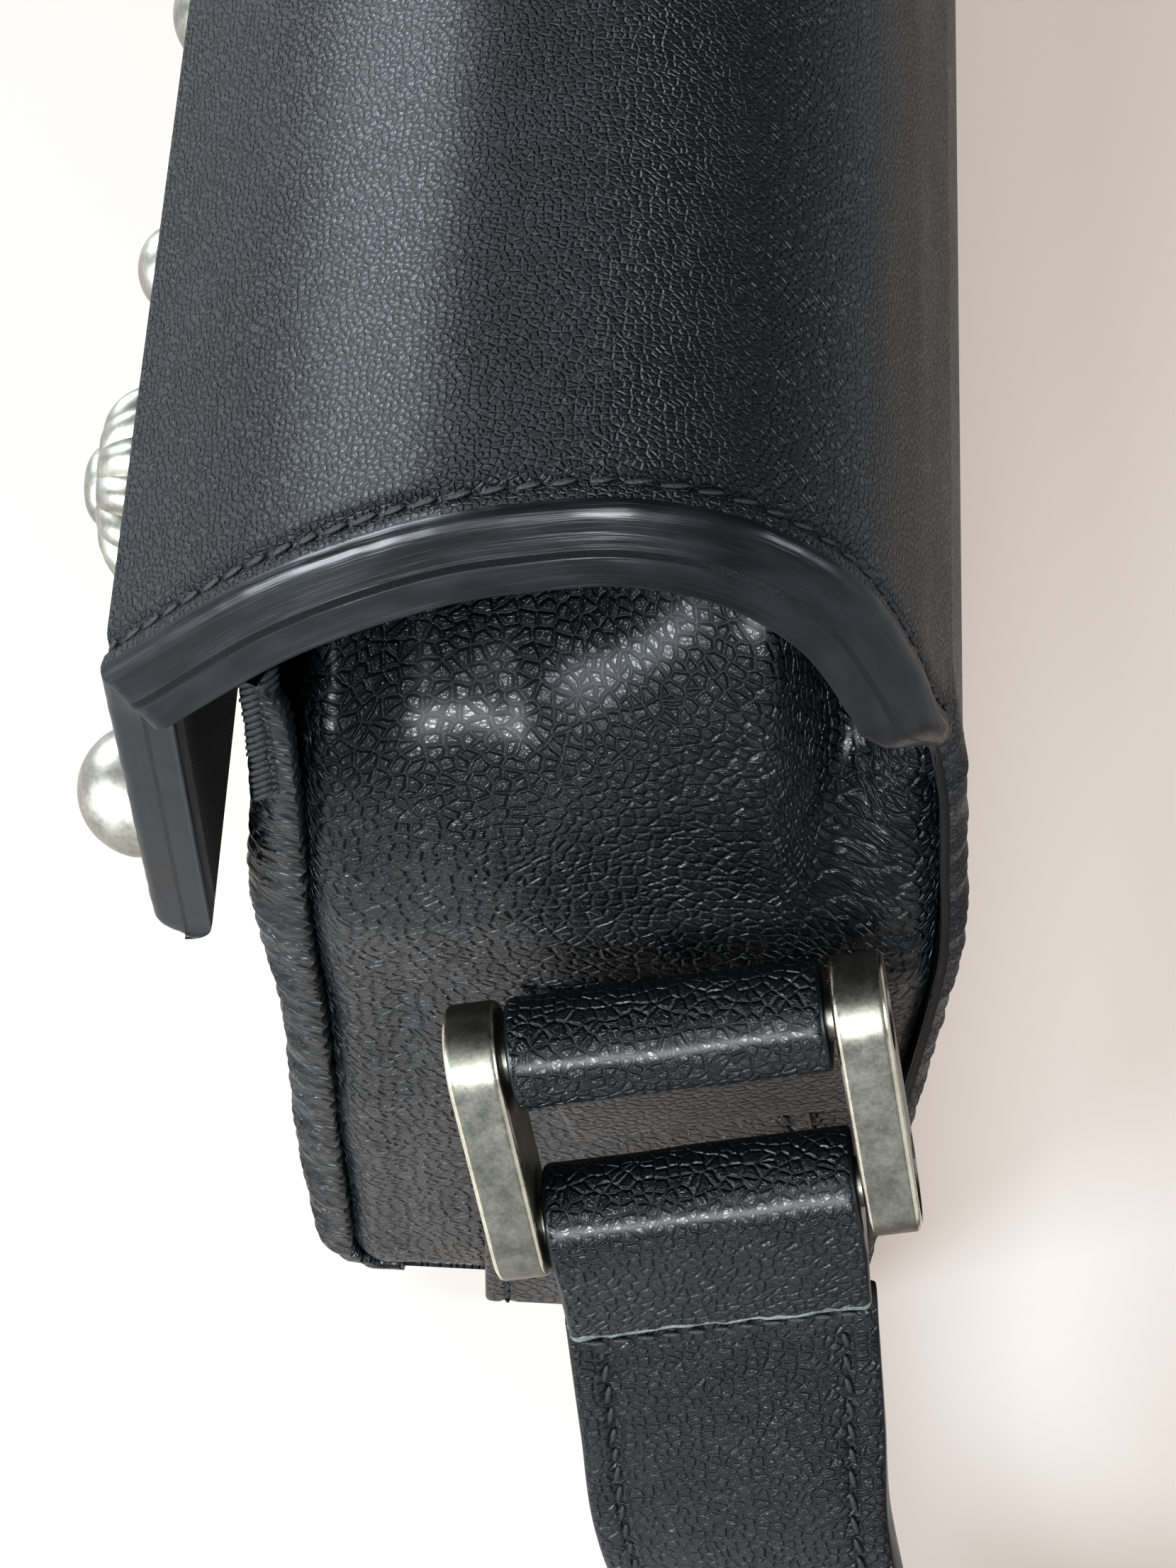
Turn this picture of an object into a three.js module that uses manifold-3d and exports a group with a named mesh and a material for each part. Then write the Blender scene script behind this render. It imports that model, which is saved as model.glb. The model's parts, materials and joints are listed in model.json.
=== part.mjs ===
// A small flap shoulder bag in the saddle bag style: a soft leather body, a moulded flap with
// metal ornaments, and a shoulder strap that hangs from a steel link at each end.
// Millimetres. +X is one end of the bag, -Y its front, +Z up; the bag stands on z = 0.
import * as THREE from "three";
import { mergeVertices } from "three/addons/utils/BufferGeometryUtils.js";
import Module from "manifold-3d";

const wasm = await Module();
wasm.setup();

// Driving dimensions
const gap = 0.3; // between pieces that touch
const body = { endX: 128, frontY: -31, backY: 33, underZ: 1.9, topZ: 147, cornerR: 9 };
const leather = 2.2; // body panels
const flap = {
  halfLength: 130, // outer leather; each layer below it ends a little further out
  layerStep: 1.5,
  frontY: -41,
  creaseZ: 149.5,
  lowerZ: 103.2,
  layers: [1.8, 1.2, 1.4], // outer leather, stiffener, lining leather
};
const hinge = { y: 27.2, z: 142 }; // where the flap turns away from the back panel
const band = { centreY: 6, width: 35, thickness: 1.6, topZ: 97 };
const link = {
  pinX: 138, pinY: 6, pinZ: 103.6, // upper pin's centre
  tilt: THREE.MathUtils.degToRad(-30), // the link slopes out from the bag
  skew: THREE.MathUtils.degToRad(12.7), // and is pulled towards the back
  pitch: 19.4, pinR: 2.4, pinHalf: 18.2,
  barR: 5.2, barIn: 15, barOut: 19.9, bevel: 0.7,
  boreR: 2.6, headR: 3.6, seatR: 3.9, seatDepth: 1.45, headThickness: 1.1,
  slotWidth: 0.9, slotDepth: 0.5,
};
const loop = { boreR: 2.75, tabR: 5.2, strapR: 5.3, tabHalf: 14.3, strapHalf: 14.5 };
const strap = { width: 30, thickness: 4, steps: 110 };

// Materials
const metal = (color, roughness) =>
  new THREE.MeshStandardMaterial({ color, roughness, metalness: 1 });
const soft = (color, roughness) =>
  new THREE.MeshStandardMaterial({ color, roughness, metalness: 0 });
const grainLeather = soft(0x14161a, 0.42);
const flapLeather = soft(0x171a20, 0.45);
const edgePaint = soft(0x0d0f13, 0.3);
const board = soft(0x2b2723, 0.9);
const cloth = soft(0x1c1b1d, 0.95);
const nickel = metal(0x8f8d84, 0.38);
const paleSilver = metal(0xb9b6ac, 0.42);

// Solids
function solid(geometry) {
  const bare = geometry.clone();
  bare.deleteAttribute("normal");
  bare.deleteAttribute("uv");
  const merged = mergeVertices(bare, 1e-4);
  return new wasm.Manifold(new wasm.Mesh({
    numProp: 3,
    vertProperties: merged.attributes.position.array,
    triVerts: new Uint32Array(merged.index.array),
  }));
}

function geometryOf(manifold) {
  const mesh = manifold.getMesh();
  const geometry = new THREE.BufferGeometry();
  geometry.setAttribute("position", new THREE.BufferAttribute(mesh.vertProperties, 3));
  geometry.setIndex(new THREE.BufferAttribute(mesh.triVerts, 1));
  geometry.computeVertexNormals();
  return geometry;
}

const subtract = (a, ...tools) =>
  geometryOf(tools.reduce((left, tool) => left.subtract(solid(tool)), solid(a)));
const intersect = (a, b) => geometryOf(solid(a).intersect(solid(b)));

const V2 = (x, y) => new THREE.Vector2(x, y);
const V3 = (x, y, z) => new THREE.Vector3(x, y, z);
const outline = (points) => new THREE.Shape(points.map(([x, y]) => V2(x, y)));

function extrude(shape, depth, segments = 6) {
  const options = { depth, bevelEnabled: false, curveSegments: segments };
  return new THREE.ExtrudeGeometry(shape, options);
}

// A Y-Z outline run along X from x0 to x1.
function prismX(shape, x0, x1, segments) {
  const turn = new THREE.Matrix4().makeBasis(V3(0, 1, 0), V3(0, 0, 1), V3(1, 0, 0));
  return extrude(shape, x1 - x0, segments).applyMatrix4(turn).translate(x0, 0, 0);
}

// An X-Z outline run along Y from y0 to y1.
function prismY(shape, y0, y1, segments) {
  const turn = new THREE.Matrix4().makeBasis(V3(1, 0, 0), V3(0, 0, 1), V3(0, -1, 0));
  return extrude(shape, y1 - y0, segments).applyMatrix4(turn).translate(0, y1, 0);
}

// A plain box between two corners.
function box(x0, y0, z0, x1, y1, z1) {
  const size = new THREE.BoxGeometry(x1 - x0, y1 - y0, z1 - z0);
  return size.translate((x0 + x1) / 2, (y0 + y1) / 2, (z0 + z1) / 2);
}

// A rod along Y from y0 to y1.
function rodY(radius, y0, y1, sides = 20) {
  return new THREE.CylinderGeometry(radius, radius, y1 - y0, sides).translate(0, (y0 + y1) / 2, 0);
}

// The polyline moved sideways to its left by a distance, with mitred corners.
function offset(points, distance) {
  return points.map((point, i) => {
    const before = points[Math.max(i - 1, 0)];
    const after = points[Math.min(i + 1, points.length - 1)];
    const into = point.clone().sub(before).normalize();
    const out = after.clone().sub(point).normalize();
    if (i === 0) into.copy(out);
    if (i === points.length - 1) out.copy(into);
    const normal = V2(-into.y - out.y, into.x + out.x).normalize();
    const mitre = distance / normal.dot(V2(-into.y, into.x));
    return point.clone().addScaledVector(normal, mitre);
  });
}

// A strip of constant thickness whose right-hand side is the polyline.
function layerShape(points, inner, outer) {
  return new THREE.Shape([...offset(points, inner), ...offset(points, outer).reverse()]);
}

function piece(name, geometry, material, parent) {
  const mesh = new THREE.Mesh(geometry, material);
  mesh.name = name;
  parent.add(mesh);
  return mesh;
}

// Body: two side panels that turn under to the base, and a gusset at each end.
function arcPoints(cy, cz, radius, from, to, count) {
  return Array.from({ length: count + 1 }, (_, i) => {
    const angle = THREE.MathUtils.degToRad(from + ((to - from) * i) / count);
    return V2(cy + radius * Math.cos(angle), cz + radius * Math.sin(angle));
  });
}

const bag = new THREE.Group();
const { endX, frontY, backY, underZ, topZ, cornerR } = body;
const cornerZ = underZ + cornerR;
const lip = 1.5; // each side panel runs this far under the base past its round corner
const frontLine = [
  V2(frontY, topZ),
  ...arcPoints(frontY + cornerR, cornerZ, cornerR, 180, 270, 5),
  V2(frontY + cornerR + lip, underZ),
];
const backLine = [
  V2(backY - cornerR - lip, underZ),
  ...arcPoints(backY - cornerR, cornerZ, cornerR, 270, 360, 5),
  V2(backY, 92), V2(backY - 0.8, 106), V2(backY - 2.3, 118), V2(backY - 3.9, 131),
  V2(hinge.y - 0.2, hinge.z - gap),
];
const panelX = endX - 0.4;
piece("front_panel", prismX(layerShape(frontLine, 0, leather), -panelX, panelX), grainLeather, bag);
piece("back_panel", prismX(layerShape(backLine, 0, leather), -panelX, panelX), grainLeather, bag);
const baseFront = frontY + cornerR + lip + gap;
const baseBack = backY - cornerR - lip - gap;
piece("base_panel",
  box(-panelX, baseFront, underZ, panelX, baseBack, underZ + leather), grainLeather, bag);
const boardZ = underZ + leather + gap;
piece("base_board", box(-118, baseFront, boardZ, 118, baseBack, boardZ + 1.3), board, bag);

// The gusset's upper edge turns inwards over the mouth, under the flap.
const innerFront = frontY + leather + gap;
const innerBack = backY - leather - gap;
const gussetLow = underZ + leather + gap;
const turnR = 10;
const gussetRun = [
  V2(endX, gussetLow),
  ...arcPoints(endX - turnR, topZ - 1.5 - turnR, turnR, 0, 90, 6),
  V2(endX - 22, topZ - 0.5),
];
const gussetFace = outline([
  [innerFront + 6.5, gussetLow], [innerBack - 6.5, gussetLow], [innerBack - 1.5, gussetLow + 5],
  [innerBack, 20], [innerBack, 91], [innerBack - 1, 106], [innerBack - 2.6, 118],
  [innerBack - 4.3, 131], [innerBack - 5.6, 138], [20.6, 139.8], [17.5, topZ],
  [innerFront, topZ], [innerFront, 20], [innerFront + 1.5, gussetLow + 5],
]);
const gussetSheet = prismY(layerShape(gussetRun, 0, leather), innerFront - 5, innerBack + 5);
const gusset = intersect(gussetSheet, prismX(gussetFace, 90, endX + 5));
piece("gusset_right", gusset, grainLeather, bag);
piece("gusset_left", gusset, grainLeather, bag).scale.x = -1;

// Lining: an open cloth bag inside the leather, with a leather facing behind the front's upper edge.
const liningTop = 124;
const liningX = endX - leather - 0.6;
const liningOutline = (inset, z0, z1, r) => {
  const y0 = innerFront + 0.3 + inset;
  const y1 = innerBack - 0.5 - inset;
  const shape = new THREE.Shape();
  shape.moveTo(y0, z1).lineTo(y0, z0 + r).quadraticCurveTo(y0, z0, y0 + r, z0);
  shape.lineTo(y1 - r, z0).quadraticCurveTo(y1, z0, y1, z0 + r);
  return shape.lineTo(y1, 91).lineTo(y1 - 1.2, 106).lineTo(y1 - 3.9, z1);
};
const wall = 1.2;
piece("lining", subtract(
  prismX(liningOutline(0, boardZ + 1.6, liningTop, 9), -liningX, liningX, 4),
  prismX(liningOutline(wall, boardZ + 1.6 + wall, liningTop + 1, 8), -liningX + wall, liningX - wall, 4),
), cloth, bag);
piece("front_facing",
  box(-104, innerFront, liningTop + gap, 104, innerFront + 1.4, topZ - 0.6), grainLeather, bag);

// Carrier band: one strip that runs from one tab down the gusset, under the base and up again.
const bandR = 2.1;
const bandX = endX + gap + band.thickness;
const bandLine = [
  V2(-bandX, band.topZ),
  ...arcPoints(-bandX + bandR, bandR, bandR, 180, 270, 4),
  ...arcPoints(bandX - bandR, bandR, bandR, 270, 360, 4),
  V2(bandX, band.topZ),
];
const bandY = band.centreY - band.width / 2;
piece("carrier_band",
  prismY(layerShape(bandLine, 0, band.thickness), bandY, bandY + band.width), grainLeather, bag);

// Flap: three layers with one profile, from the back seam over the arch and down the front.
const archPoints = [
  [hinge.y - 0.3, hinge.z + gap], [24.6, 149.7], [22, 157.5], [16.8, 168], [9, 175.2], [0, 177.7],
  [-8.5, 176.2], [-17.5, 172.3], [-29, 163.4], [flap.frontY, flap.creaseZ],
];
const arch = new THREE.SplineCurve(archPoints.map(([y, z]) => V2(y, z)));
const flapLine = [
  ...arch.getPoints(26),
  V2(flap.frontY, flap.lowerZ + 4), V2(flap.frontY + 0.9, flap.lowerZ),
];
const flapGroup = new THREE.Group();
let depth = 0;
[["flap_leather", flapLeather], ["flap_stiffener", board], ["flap_lining", edgePaint]]
  .forEach(([name, material], i) => {
    const reach = flap.halfLength + i * flap.layerStep;
    const shape = layerShape(flapLine, depth, depth + flap.layers[i]);
    piece(name, prismX(shape, -reach, reach), material, flapGroup);
    depth += flap.layers[i] + gap;
  });

// Magnetic snap: a socket on the front panel and a stud on the flap's lining.
const snap = { z: 118, radius: 9, rim: 1.3 };
const snapAt = (geometry) => geometry.translate(0, 0, snap.z);
piece("snap_socket", snapAt(subtract(
  rodY(snap.radius, frontY - gap - snap.rim, frontY - gap, 24),
  rodY(snap.radius * 0.4, frontY - gap - snap.rim - 1, frontY - gap - snap.rim + 0.7, 16),
)), nickel, bag);
const flapInner = flap.frontY + depth;
piece("snap_stud",
  snapAt(rodY(snap.radius, flapInner, frontY - gap - snap.rim - 0.5, 24)), nickel, flapGroup);

// Ornaments on the front of the flap, lathed about their posts: plain domes and fluted conchos.
function dome(radius, height, rings = 5) {
  const points = Array.from({ length: rings + 1 }, (_, i) => {
    const angle = (Math.PI / 2) * (i / rings);
    return V2(radius * Math.cos(angle), height * Math.sin(angle));
  });
  return new THREE.LatheGeometry([V2(0, 0), ...points], 20);
}

function concho(radius, height, flutes = 12) {
  const profile = [[0, 0], [1, 0], [1, 0.18], [0.86, 0.5], [0.6, 0.72], [0.44, 0.7], [0.3, 0.92], [0, 1]];
  const points = profile.map(([r, h]) => V2(r * radius, h * height));
  const geometry = new THREE.LatheGeometry(points, flutes * 2);
  const position = geometry.attributes.position;
  for (let i = 0; i < position.count; i++) {
    const r = Math.hypot(position.getX(i), position.getZ(i));
    const angle = Math.atan2(position.getX(i), position.getZ(i));
    const fluted = r > 0.5 * radius ? 1 - 0.04 * (1 - Math.cos(flutes * angle)) : 1;
    position.setX(i, position.getX(i) * fluted);
    position.setZ(i, position.getZ(i) * fluted);
  }
  return geometry;
}

const bigDome = dome(6.1, 6.4);
const smallDome = dome(4, 3.6, 4);
const flutedConcho = concho(9.6, 7.2);
const ornaments = [
  ["concho", flutedConcho, 0, 124], ["dome", bigDome, 38, 121], ["button", smallDome, 58, 117],
  ["button", smallDome, 81, 137], ["concho", flutedConcho, 99, 129], ["dome", bigDome, 122.8, 117],
];
ornaments.forEach(([name, geometry, x, z]) => {
  const sides = x ? [1, -1] : [1];
  sides.forEach((side) => {
    const label = x ? `${name}_${Math.round(x)}_${side > 0 ? "right" : "left"}` : `${name}_centre`;
    const ornament = piece(label, geometry, paleSilver, flapGroup);
    ornament.rotation.x = Math.PI;
    ornament.position.set(side * x, flap.frontY - gap, z);
  });
});

// Link: two bars on two screwed pins; it hangs from the tab loop and carries the strap's loop.
// In its own frame Y is the pins' axis, Z runs up the link and X faces outwards.
function barGeometry() {
  const { barR, pitch, boreR, seatR, seatDepth, barIn, barOut, bevel } = link;
  const shape = new THREE.Shape();
  shape.absarc(0, 0, barR - bevel, 0, Math.PI).absarc(0, -pitch, barR - bevel, Math.PI, 2 * Math.PI);
  const options = {
    depth: barOut - barIn - 2 * bevel, bevelThickness: bevel, bevelSize: bevel,
    bevelSegments: 1, curveSegments: 8,
  };
  const turn = new THREE.Matrix4().makeBasis(V3(1, 0, 0), V3(0, 0, 1), V3(0, -1, 0));
  const plate = new THREE.ExtrudeGeometry(shape, options).applyMatrix4(turn);
  plate.translate(0, barOut - bevel, 0);
  const bores = [0, -pitch].flatMap((z) => [
    rodY(boreR, barIn - 1, barOut + 1).translate(0, 0, z),
    rodY(seatR, barOut - seatDepth, barOut + 1).translate(0, 0, z),
  ]);
  return subtract(plate, ...bores);
}

function screwGeometry() {
  const start = link.pinHalf + gap;
  const head = rodY(link.headR, start, start + link.headThickness);
  const half = link.slotWidth / 2;
  const top = start + link.headThickness;
  return subtract(head, box(-5, top - link.slotDepth, -half, 5, top + 1, half));
}

function tabLoopGeometry() {
  const { tabR, boreR, tabHalf } = loop;
  const shape = new THREE.Shape();
  shape.moveTo(-tabR, 0).absarc(0, 0, tabR, Math.PI, -0.3 * Math.PI, true);
  shape.lineTo(-2.6, -9).lineTo(-4.3, -33).lineTo(-6.3, -34);
  shape.holes.push(new THREE.Path().absarc(0, 0, boreR, 0, 2 * Math.PI));
  return prismY(shape, -tabHalf, tabHalf, 10);
}

const foldEnd = 14.5; // the turned-back end of the strap stops this far below the lower pin
const sewnEnd = 18; // and the stitched, stiff part of the strap ends here
const strapBack = -4.3;
const strapLean = (below) => 0.08 * Math.max(0, below - 6); // it straightens below the pin
function strapLoopGeometry() {
  const { strapR, boreR, strapHalf } = loop;
  const middle = strapBack + strap.thickness;
  const shape = new THREE.Shape();
  shape.moveTo(-strapR, 0).absarc(0, 0, strapR, Math.PI, 0, true);
  shape.lineTo(4.8, -4).lineTo(2.9, -10).lineTo(middle + 2.2, -foldEnd).lineTo(middle, -foldEnd);
  shape.lineTo(middle, -sewnEnd).lineTo(strapBack, -sewnEnd).lineTo(strapBack, -9);
  shape.holes.push(new THREE.Path().absarc(0, 0, boreR, 0, 2 * Math.PI));
  const geometry = prismY(shape, -strapHalf, strapHalf, 10);
  const position = geometry.attributes.position;
  for (let i = 0; i < position.count; i++) {
    position.setY(i, position.getY(i) - strapLean(-position.getZ(i)));
  }
  return geometry.translate(0, 0, -link.pitch);
}

const parts = {
  bar: barGeometry(), screw: screwGeometry(),
  pin: rodY(link.pinR, -link.pinHalf, link.pinHalf, 20),
  tabLoop: tabLoopGeometry(), strapLoop: strapLoopGeometry(),
};

function endFrame() {
  const frame = new THREE.Group();
  frame.position.set(link.pinX, link.pinY, link.pinZ);
  frame.rotation.set(link.skew, link.tilt, 0, "YXZ");
  return frame;
}

function strapEnd(side, mirror) {
  const end = new THREE.Group();
  end.scale.x = mirror;
  const frame = endFrame();
  end.add(frame);
  piece(`tab_loop_${side}`, parts.tabLoop, grainLeather, frame).rotation.y = -link.tilt;
  piece(`strap_loop_${side}`, parts.strapLoop, grainLeather, frame);
  [["upper", 0], ["lower", -link.pitch]].forEach(([level, z]) => {
    piece(`pin_${level}_${side}`, parts.pin, nickel, frame).position.z = z;
    [["front", -1], ["back", 1]].forEach(([where, sign]) => {
      const screw = piece(`screw_${level}_${where}_${side}`, parts.screw, nickel, frame);
      screw.position.z = z;
      screw.scale.y = sign;
    });
  });
  [["front", -1], ["back", 1]].forEach(([where, sign]) => {
    piece(`link_bar_${where}_${side}`, parts.bar, nickel, frame).scale.y = sign;
  });
  return end;
}

// Shoulder strap: it falls from each link, turns on to its edge and lies behind the bag.
const strapFrame = endFrame();
strapFrame.updateMatrixWorld(true);
const fromLink = (x, y, z) => strapFrame.localToWorld(V3(x, y, z));
const strapCentre = (below) =>
  fromLink(strapBack + strap.thickness / 2, -strapLean(below), -link.pitch - below);
const strapWidthAxis = fromLink(0, 1, 0).sub(fromLink(0, 0, 0));
const edgeZ = strap.width / 2 + 0.2;
const fallingRun = [
  strapCentre(sewnEnd + 1.6), strapCentre(sewnEnd + 12), strapCentre(sewnEnd + 26),
  V3(175.5, 23.5, 29), V3(187, 34, 19.5), V3(197, 50, edgeZ), V3(201, 68, edgeZ),
  V3(198, 87, edgeZ), V3(188, 102, edgeZ), V3(171, 112, edgeZ), V3(148, 116, edgeZ),
  V3(110, 116, edgeZ), V3(55, 113, edgeZ), V3(0, 112, edgeZ),
];
const mirrored = fallingRun.slice(0, -1).reverse().map((p) => V3(-p.x, p.y, p.z));
const strapPath = new THREE.CatmullRomCurve3([...fallingRun, ...mirrored], false, "centripetal");

function strapGeometry() {
  const { width, thickness, steps } = strap;
  const twist = 86; // the strap has turned on to its edge after this length
  const length = strapPath.getLength();
  const positions = [];
  for (let i = 0; i <= steps; i++) {
    const u = i / steps;
    const centre = strapPath.getPointAt(u);
    const along = strapPath.getTangentAt(u);
    const side = u <= 0.5 ? 1 : -1;
    const turned = THREE.MathUtils.smoothstep(Math.min(u, 1 - u) * length, 0, twist);
    const across = strapWidthAxis.clone().multiply(V3(side, 1, 1));
    across.lerp(V3(0, 0, 1), turned).addScaledVector(along, -across.dot(along)).normalize();
    const face = along.clone().cross(across);
    [[-1, -1], [1, -1], [1, 1], [-1, 1]].forEach(([a, b]) => {
      const corner = centre.clone().addScaledVector(across, (a * width) / 2);
      positions.push(...corner.addScaledVector(face, (b * thickness) / 2).toArray());
    });
  }
  const index = [0, 2, 1, 0, 3, 2];
  for (let i = 0; i < steps; i++) {
    for (let k = 0; k < 4; k++) {
      const a = 4 * i + k;
      const b = 4 * i + ((k + 1) % 4);
      index.push(a, b, b + 4, a, b + 4, a + 4);
    }
  }
  const last = 4 * steps;
  index.push(last, last + 1, last + 2, last, last + 2, last + 3);
  const geometry = new THREE.BufferGeometry();
  geometry.setAttribute("position", new THREE.Float32BufferAttribute(positions, 3));
  geometry.setIndex(index);
  geometry.computeVertexNormals();
  return geometry;
}
piece("shoulder_strap", strapGeometry(), grainLeather, bag);

const saddleBag = new THREE.Group();
saddleBag.add(bag, flapGroup, strapEnd("right", 1), strapEnd("left", -1));
export default saddleBag;
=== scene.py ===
import json
import math

import bmesh
import bpy
import numpy as np
from mathutils import Matrix, Vector, noise


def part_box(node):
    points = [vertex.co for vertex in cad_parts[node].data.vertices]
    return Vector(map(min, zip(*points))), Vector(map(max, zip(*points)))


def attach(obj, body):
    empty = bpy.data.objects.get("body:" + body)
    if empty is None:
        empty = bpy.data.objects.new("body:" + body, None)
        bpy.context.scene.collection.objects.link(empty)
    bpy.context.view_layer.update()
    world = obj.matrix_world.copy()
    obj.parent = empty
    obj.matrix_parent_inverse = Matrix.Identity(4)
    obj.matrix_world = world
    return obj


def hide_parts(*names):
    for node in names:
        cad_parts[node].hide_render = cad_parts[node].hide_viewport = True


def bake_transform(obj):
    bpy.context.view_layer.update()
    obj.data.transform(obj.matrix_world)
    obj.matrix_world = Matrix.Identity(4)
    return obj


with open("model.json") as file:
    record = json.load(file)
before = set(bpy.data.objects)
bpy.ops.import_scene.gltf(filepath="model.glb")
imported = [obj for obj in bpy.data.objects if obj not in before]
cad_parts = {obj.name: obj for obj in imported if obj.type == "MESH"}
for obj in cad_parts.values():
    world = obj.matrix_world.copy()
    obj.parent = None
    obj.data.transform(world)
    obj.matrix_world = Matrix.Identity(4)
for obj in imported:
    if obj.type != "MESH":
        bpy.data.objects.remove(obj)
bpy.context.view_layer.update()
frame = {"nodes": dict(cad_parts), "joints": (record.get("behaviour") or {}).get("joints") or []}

MM = 0.001

# ---------------------------------------------------------------------------------------------
# Gussets. Each end of the bag is one soft piece of pebbled leather, sewn inside out to the
# front and back panels. Its upper edge is folded in under the flap, so it makes a soft roll
# with a dimple beside the back seam, where the surplus leather is gathered.
# ---------------------------------------------------------------------------------------------


class Wire:
    """A shader socket that takes part in arithmetic: each operation adds its Math node."""

    def __init__(self, finish, socket):
        self.finish, self.socket = finish, socket

    def maths(self, operation, *values):
        sockets = dict(enumerate(values))
        return self.finish.node("ShaderNodeMath", {"operation": operation}, sockets)

    def __add__(self, other):
        return self.maths("ADD", self, other)

    def __rsub__(self, other):
        return self.maths("SUBTRACT", other, self)

    def __mul__(self, other):
        return self.maths("MULTIPLY", self, other)

    __radd__ = __add__
    __rmul__ = __mul__

    def ramp(self, low, high, start=0.0, end=1.0):
        """Smooth step from start to end as the value goes from low to high."""
        settings = {"interpolation_type": "SMOOTHSTEP"}
        values = {"Value": self, "From Min": low, "From Max": high, "To Min": start, "To Max": end}
        return self.finish.node("ShaderNodeMapRange", settings, values, "Result")


class Finish:
    """A material whose nodes are added one call at a time."""

    def __init__(self, name, **constants):
        self.material = bpy.data.materials.new(name)
        self.material.use_nodes = True
        self.tree = self.material.node_tree
        self.shader = self.tree.nodes["Principled BSDF"]
        for socket, value in constants.items():
            self.shader.inputs[socket.replace("_", " ")].default_value = value

    def node(self, kind, settings=None, inputs=None, output=0):
        made = self.tree.nodes.new(kind)
        for key, value in (settings or {}).items():
            setattr(made, key, value)
        for key, value in (inputs or {}).items():
            if isinstance(value, Wire):
                self.tree.links.new(value.socket, made.inputs[key])
            else:
                made.inputs[key].default_value = value
        return Wire(self, made.outputs[output])

    def mix(self, factor, a, b):
        """A colour between a and b."""
        # A mix node keeps a socket for each kind of value: 0, 6 and 7 in and 2 out are the colour's.
        return self.node("ShaderNodeMix", {"data_type": "RGBA"}, {0: factor, 6: a, 7: b}, 2)

    def place(self):
        return self.node("ShaderNodeTexCoord", None, None, "Object")

    def clouds(self, place, scale, detail=2.0, roughness=0.5, dimensions="3D", output=0):
        return self.node("ShaderNodeTexNoise", {"noise_dimensions": dimensions}, {
            "Vector": place, "Scale": scale, "Detail": detail, "Roughness": roughness,
        }, output)

    def bump(self, height, distance, strength=1.0):
        """The normal of a relief that is so many millimetres deep."""
        return self.node("ShaderNodeBump", None, {
            "Strength": strength, "Distance": distance * MM, "Height": height,
        })

    def put(self, **wires):
        for socket, wire in wires.items():
            self.tree.links.new(wire.socket, self.shader.inputs[socket.replace("_", " ")])
        return self.material


def leather(name, dark_tone_and_crease_shade, worn, cell, depth, roughness, stretch=(1.0, 1.0), seed=0.0, polish=0.0):
    """Pebbled leather: rounded cells of grain with narrow creases, on the hide's own coordinates."""
    finish = Finish(name, Specular_IOR_Level=0.34, Coat_Weight=polish, Coat_Roughness=0.28)
    hide = finish.node("ShaderNodeAttribute", {"attribute_name": "hide"}, None, "Vector")
    place = finish.node("ShaderNodeMapping", None, {
        "Vector": hide, "Scale": (stretch[0], stretch[1], 1), "Location": (seed, seed * 1.7, 0),
    })
    drift = finish.clouds(place, 0.55 / cell, dimensions="2D", output="Color")
    bent = finish.node("ShaderNodeVectorMath", {"operation": "MULTIPLY_ADD"}, {
        0: drift, 1: (0.5 * cell,) * 3, 2: place,
    })
    flat = {"voronoi_dimensions": "2D", "feature": "DISTANCE_TO_EDGE"}
    sizes = {"Vector": bent, "Scale": 1 / cell, "Randomness": 0.95}
    edge = finish.node("ShaderNodeTexVoronoi", flat, sizes, "Distance")
    near = {"voronoi_dimensions": "2D", "feature": "F1"}
    random_cell = finish.node("ShaderNodeTexVoronoi", near, sizes, "Color")
    own = finish.node("ShaderNodeSeparateColor", None, {"Color": random_cell})
    fine = finish.node("ShaderNodeTexVoronoi", flat, {
        "Vector": bent, "Scale": 2.3 / cell, "Randomness": 1.0,
    }, "Distance")
    broad = finish.clouds(place, 0.09, 3.0, 0.55, "2D")
    grit = finish.clouds(place, 5.0 / cell, dimensions="2D")
    pebble = edge.ramp(0.0, 0.26)
    relief = pebble * (own * 0.5 + 0.75) + fine.ramp(0.0, 0.18) * 0.1 + grit * 0.1
    crease = 1 - pebble
    return finish.put(
        # The creases take more of the dark colour: painted shade. The broad clouds are the hide's own
        # uneven tone, and the crests lean to the worn colour.
        Base_Color=finish.mix((broad * 0.7 + pebble * 0.3).ramp(0.25, 0.85), dark_tone_and_crease_shade, worn),
        Roughness=crease * 0.16 + broad * 0.16 + own * 0.06 + (roughness - 0.1),
        Normal=finish.bump(relief, depth),
    )


gusset_leather = leather(
    "pebbled_black_leather", (0.003, 0.0034, 0.0042, 1), (0.008, 0.009, 0.0105, 1),
    cell=1.35, depth=0.42, roughness=0.25, stretch=(0.92, 1.08), polish=0.15,
)


def smooth(value, low, high):
    t = np.clip((np.asarray(value, float) - low) / (high - low), 0, 1)
    return t * t * (3 - 2 * t)


def bell(value, centre, width):
    return np.exp(-(((np.asarray(value, float) - centre) / width) ** 2))


def curve_through(points, count):
    """Evenly spread points on a uniform Catmull-Rom curve through the given ones."""
    p = np.array(points, float)
    p = np.vstack([2 * p[0] - p[1], p, 2 * p[-1] - p[-2]])
    t = np.linspace(0, len(points) - 1 - 1e-9, count * 4)
    i, f = t.astype(int), (t % 1)[:, None]
    a, b, c, d = p[i], p[i + 1], p[i + 2], p[i + 3]
    fine = 0.5 * (2 * b + (c - a) * f + (2 * a - 5 * b + 4 * c - d) * f**2
                  + (3 * b - a - 3 * c + d) * f**3)
    return respaced(fine, count)


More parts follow.
